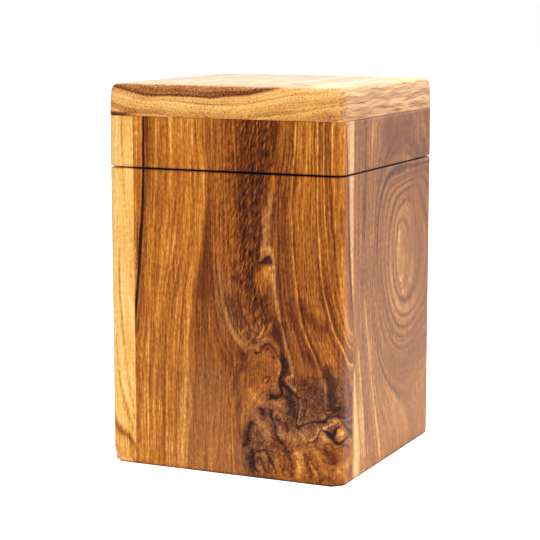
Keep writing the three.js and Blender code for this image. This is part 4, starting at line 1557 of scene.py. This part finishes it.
# %% Make the straight pieces
BASE_EASE, LINING_EASE, LEDGE_EASE = 0.4, 0.25, 0.3  # how much is planed off the arrises
LEAD_IN = 1.2  # bevel along the lining's outer top edge
PIECE_SHARP = 35  # edges that turn by more than this many degrees stay sharp
SAME_PLACE = 1e-4
X_AXIS, Y_AXIS, Z_AXIS = 0, 1, 2


def on_edge(edge, axis, outer, top):
    """Whether an edge runs along the top of a block, on its outer side."""
    return all(
        abs(vertex.co.z - top) < SAME_PLACE and abs(vertex.co[axis] - outer) < SAME_PLACE
        for vertex in edge.verts
    )


def eased_block(name, low, high, ease, lead_in=None):
    """A planed board between two corners; lead_in is the (axis, sign) of the side bevelled on top."""
    bm = bmesh.new()
    foot = ((low[0], low[1]), (low[0], high[1]), (high[0], high[1]), (high[0], low[1]))
    bottom = bm.faces.new([bm.verts.new((x, y, low[2])) for x, y in foot])
    raised = bmesh.ops.extrude_face_region(bm, geom=[bottom])["geom"]
    for vertex in raised:
        if isinstance(vertex, bmesh.types.BMVert):
            vertex.co.z = high[2]
    bmesh.ops.recalc_face_normals(bm, faces=bm.faces)
    if lead_in:
        axis, sign = lead_in
        outer = high[axis] if sign > 0 else low[axis]
        edges = [edge for edge in bm.edges if on_edge(edge, axis, outer, high[2])]
        bmesh.ops.bevel(bm, geom=edges, offset=LEAD_IN, segments=1, affect="EDGES")
    bmesh.ops.bevel(bm, geom=list(bm.edges), offset=ease, segments=2, profile=0.5, affect="EDGES")
    bmesh.ops.scale(bm, vec=(MM, MM, MM), verts=bm.verts)
    mesh = bpy.data.meshes.new(name)
    bm.to_mesh(mesh)
    bm.free()
    mesh.polygons.foreach_set("use_smooth", [True] * len(mesh.polygons))
    mesh.set_sharp_from_angle(angle=math.radians(PIECE_SHARP))
    piece = bpy.data.objects.new(name, mesh)
    bpy.context.scene.collection.objects.link(piece)
    return piece


base = eased_block("floor_board", base_low, base_high, BASE_EASE)
lay_grain(base.data, X_AXIS, [(Y_AXIS, 1.0), (Z_AXIS, 0.6)])
base.data.materials.append(teak)
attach(base, "case")
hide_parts("base_board")

LINING_SIDES = {"front": (Y_AXIS, -1), "right": (X_AXIS, 1), "back": (Y_AXIS, 1), "left": (X_AXIS, -1)}
for side, (axis, sign) in LINING_SIDES.items():
    low, high = corners(f"lining_{side}")
    board = eased_block(f"{side}_lining", low, high, LINING_EASE, (axis, sign))
    lay_grain(board.data, 1 - axis, [(Z_AXIS, 1.0), (axis, 0.8)])
    board.data.materials.append(lining_wood)
    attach(board, "case")
    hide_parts(f"lining_{side}")

for side in ("left", "right"):
    low, high = corners(f"ledge_{side}")
    strip = eased_block(f"{side}_ledge", low, high, LEDGE_EASE)
    lay_grain(strip.data, Y_AXIS, [(Z_AXIS, 1.0), (X_AXIS, 0.8)])
    strip.data.materials.append(lining_wood)
    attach(strip, "case")
    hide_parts(f"ledge_{side}")
print("base board, linings and ledges made")

# %% [markdown]
# ## The cup rack
#
# The rack is one board with four large holes for the cups and a small one for the knob's screw. On the
# real thing the holes are cut with a hole saw and their edges rounded over. A flat curve with holes is
# extruded, and the curve's own bevel rounds every edge, inside the holes too.

# %% Extrude the rack
RACK_EASE = 0.8
CUP_NAMES = ("cup_front_left", "cup_front_right", "cup_back_right", "cup_back_left")
cup_boxes = {name: corners(name) for name in CUP_NAMES}
CUP_CENTRES = {name: (low + high) / 2 for name, (low, high) in cup_boxes.items()}
HOLE_RADIUS, HOLE_POINTS = 17.4, 96
SCREW_HOLE_RADIUS, SCREW_HOLE_POINTS = 2.4, 32
RACK_CORNER, RACK_SIDE_STEP, RACK_CORNER_STEPS = 1.5, 6.0, 4
RACK_TONE = 0.44
WELD = 0.002  # the curve's flat faces and its rim come as separate sheets, which are joined where they meet
FLAT = 0.999  # a face whose normal points this much up or down is shaded flat


def add_loop(curve, points):
    """Add a closed outline or hole to a flat curve."""
    loop = curve.splines.new("POLY")
    loop.points.add(len(points) - 1)
    for spot, (x, y) in zip(loop.points, points):
        spot.co = (x * MM, y * MM, 0, 1)
    loop.use_cyclic_u = True


def circle(centre, radius, count):
    """Points round a circle."""
    angles = [2 * math.pi * i / count for i in range(count)]
    return [(centre[0] + radius * math.cos(a), centre[1] + radius * math.sin(a)) for a in angles]


def make_rack():
    """Extrude the rack's outline with its holes, and weld the sheets that the curve makes."""
    low, high = corners("cup_rack")
    curve = bpy.data.curves.new("rack_outline", "CURVE")
    curve.dimensions = "2D"
    curve.fill_mode = "BOTH"
    curve.extrude = ((high.z - low.z) / 2 - RACK_EASE) * MM
    curve.bevel_depth = RACK_EASE * MM
    curve.bevel_resolution = 2
    curve.offset = -RACK_EASE * MM
    outline = rounded_square(high.x, RACK_CORNER, RACK_SIDE_STEP, RACK_CORNER_STEPS)
    add_loop(curve, [(x, y) for x, y, _, _ in outline])
    for centre in CUP_CENTRES.values():
        add_loop(curve, circle(centre, HOLE_RADIUS, HOLE_POINTS))
    add_loop(curve, circle((0, 0), SCREW_HOLE_RADIUS, SCREW_HOLE_POINTS))
    shape = bpy.data.objects.new("rack_outline", curve)
    mesh = bpy.data.meshes.new_from_object(shape)
    bpy.data.objects.remove(shape)
    bm = bmesh.new()
    bm.from_mesh(mesh)
    bmesh.ops.remove_doubles(bm, verts=bm.verts, dist=WELD * MM)
    bmesh.ops.translate(bm, verts=bm.verts, vec=(0, 0, (low.z + high.z) / 2 * MM))
    bm.to_mesh(mesh)
    bm.free()
    mesh.name = "rack_board"
    mesh.polygons.foreach_set("use_smooth", [abs(face.normal.z) < FLAT for face in mesh.polygons])
    mesh.set_sharp_from_angle(angle=math.radians(PIECE_SHARP))
    rack = bpy.data.objects.new("rack_board", mesh)
    bpy.context.scene.collection.objects.link(rack)
    return rack


rack = make_rack()
lay_grain(rack.data, X_AXIS, [(Y_AXIS, 1.0), (Z_AXIS, 0.7)], RACK_TONE)
rack.data.materials.clear()
rack.data.materials.append(teak)
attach(rack, "rack")
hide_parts("cup_rack")
print("rack:", len(rack.data.polygons), "faces")

# %% [markdown]
# ## Brass
#
# The cups are spun from sheet brass on a lathe and the knob and its screw are turned, so their surfaces
# carry fine rings round the axis. The metal is polished and then dulled by hands: soft cloudy patches
# where the roughness rises and the colour browns a little. Each turned piece stores the distance along
# its profile, and the ring noise is read along that.

# %% The brass material
BRASS_COLOURS = [
    (0.00, srgb(150, 104, 44)),
    (0.35, srgb(204, 158, 78)),
    (0.65, srgb(226, 184, 100)),
    (1.00, srgb(240, 206, 130)),
]
POLISH_DEPTH = 0.00003


def make_brass():
    """Spun brass: fine rings, cloudy smudges from hands, and small scuffs."""
    brass = bpy.data.materials.new("spun_brass")
    tree = new_tree(brass)
    profile = mark(tree, "profile")
    x, y, z = millimetres(tree)
    rings = grain_noise(tree, profile, 0.0, 3.2, 1.0, 3.0)
    smudge = solid_noise(tree, (x, y, z), (0.09, 0.09, 0.06), 4.0, 0.6)
    scuff = solid_noise(tree, (x, y, z), (0.9, 0.9, 0.9), 3.0)
    shade = total(
        tree, 0.62, times(tree, smudge, 0.8), times(tree, rings, 0.25), times(tree, scuff, 0.15),
    )
    roughness = total(
        tree, 0.24, times(tree, smudge, 0.28), times(tree, rings, 0.16), times(tree, scuff, 0.10),
    )
    hollow = total(tree, rings, scuff)
    bump = node(tree, "ShaderNodeBump", Strength=1.0, Distance=POLISH_DEPTH, Height=hollow)
    surface = node(
        tree, "ShaderNodeBsdfPrincipled",
        Base_Color=ramp(tree, shade, BRASS_COLOURS), Metallic=1.0, Roughness=roughness,
        Normal=bump.outputs[0],
    )
    output = tree.nodes.new("ShaderNodeOutputMaterial")
    put(tree, output.inputs["Surface"], surface.outputs[0])
    return brass


brass = make_brass()

# %% Turn the cups, the knob and the screw
TURN_STEPS = 72  # points round each turned piece
CUP_PROFILE = [
    (0, 0), (8.6, 0), (10.2, 0.15), (11.6, 0.75), (12.3, 1.7), (12.55, 3.0), (13.6, 14), (14.6, 24.5),
    (15.6, 34.5), (16.35, 42), (16.6, 43.6), (17.1, 44), (18.8, 44), (19.35, 44.2), (19.6, 44.7),
    (19.35, 45.2), (18.8, 45.4), (16.6, 45.4), (15.95, 45.1), (15.6, 44.4), (15.2, 41), (14.3, 31),
    (13.4, 21), (12.4, 11), (11.7, 3.6), (11.3, 2.3), (10.4, 1.4), (9.2, 1.05), (0, 1),
]
KNOB_PROFILE = [
    (0, 8.5), (2.4, 8.5), (2.4, 0), (5.4, 0), (5.6, 0.25), (5.6, 0.95), (5.4, 1.2), (4.5, 1.7),
    (3.8, 2.4), (3.45, 3.4), (3.45, 4.5), (3.8, 5.4), (4.5, 6.3), (5.5, 7.3), (6.3, 8.3), (6.85, 9.4),
    (7.0, 10.4), (6.85, 11.5), (6.35, 12.7), (5.5, 13.7), (4.4, 14.35), (2.6, 14.85), (0, 15),
]
SCREW_PROFILE = [
    (0, -2), (2.0, -2), (2.9, -1.75), (3.6, -1.3), (3.95, -0.7), (4, 0), (2, 0), (2, 16), (1, 17),
    (0, 17),
]


def turn_piece(name, profile, centre, foot):
    """Turn a profile of (radius, height) round an upright axis and store the distance along it."""
    reach = [0.0]
    for (r0, z0), (r1, z1) in zip(profile, profile[1:]):
        reach.append(reach[-1] + math.hypot(r1 - r0, z1 - z0))
    points, distance, rows = [], [], []
    for (radius, height), far in zip(profile, reach):
        if radius == 0:
            rows.append([len(points)])
            points.append((centre[0], centre[1], foot + height))
            distance.append(far)
            continue
        rows.append(list(range(len(points), len(points) + TURN_STEPS)))
        for i in range(TURN_STEPS):
            angle = 2 * math.pi * i / TURN_STEPS
            x = centre[0] + radius * math.cos(angle)
            y = centre[1] + radius * math.sin(angle)
            points.append((x, y, foot + height))
            distance.append(far)
    faces = []
    for low, high in zip(rows, rows[1:]):
        for i in range(TURN_STEPS):
            j = (i + 1) % TURN_STEPS
            if len(low) == 1:
                faces.append((low[0], high[j], high[i]))
            elif len(high) == 1:
                faces.append((low[i], low[j], high[0]))
            else:
                faces.append((low[i], low[j], high[j], high[i]))
    piece = new_piece(name, points, faces)
    store(piece.data, "profile", np.array(distance))
    piece.data.materials.append(brass)
    return piece


for node_name, centre in CUP_CENTRES.items():
    cup = turn_piece(f"brass_{node_name}", CUP_PROFILE, centre, cup_boxes[node_name][0].z)
    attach(cup, node_name)
    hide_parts(node_name)

for piece_name, node_name, profile in (
    ("turned_knob", "rack_knob", KNOB_PROFILE),
    ("turned_screw", "knob_screw", SCREW_PROFILE),
):
    node_low = corners(node_name)[0].z
    lowest = min(height for _, height in profile)
    turned = turn_piece(piece_name, profile, (0, 0), node_low - lowest)
    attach(turned, "rack")
    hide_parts(node_name)
print("brass cups, knob and screw turned")
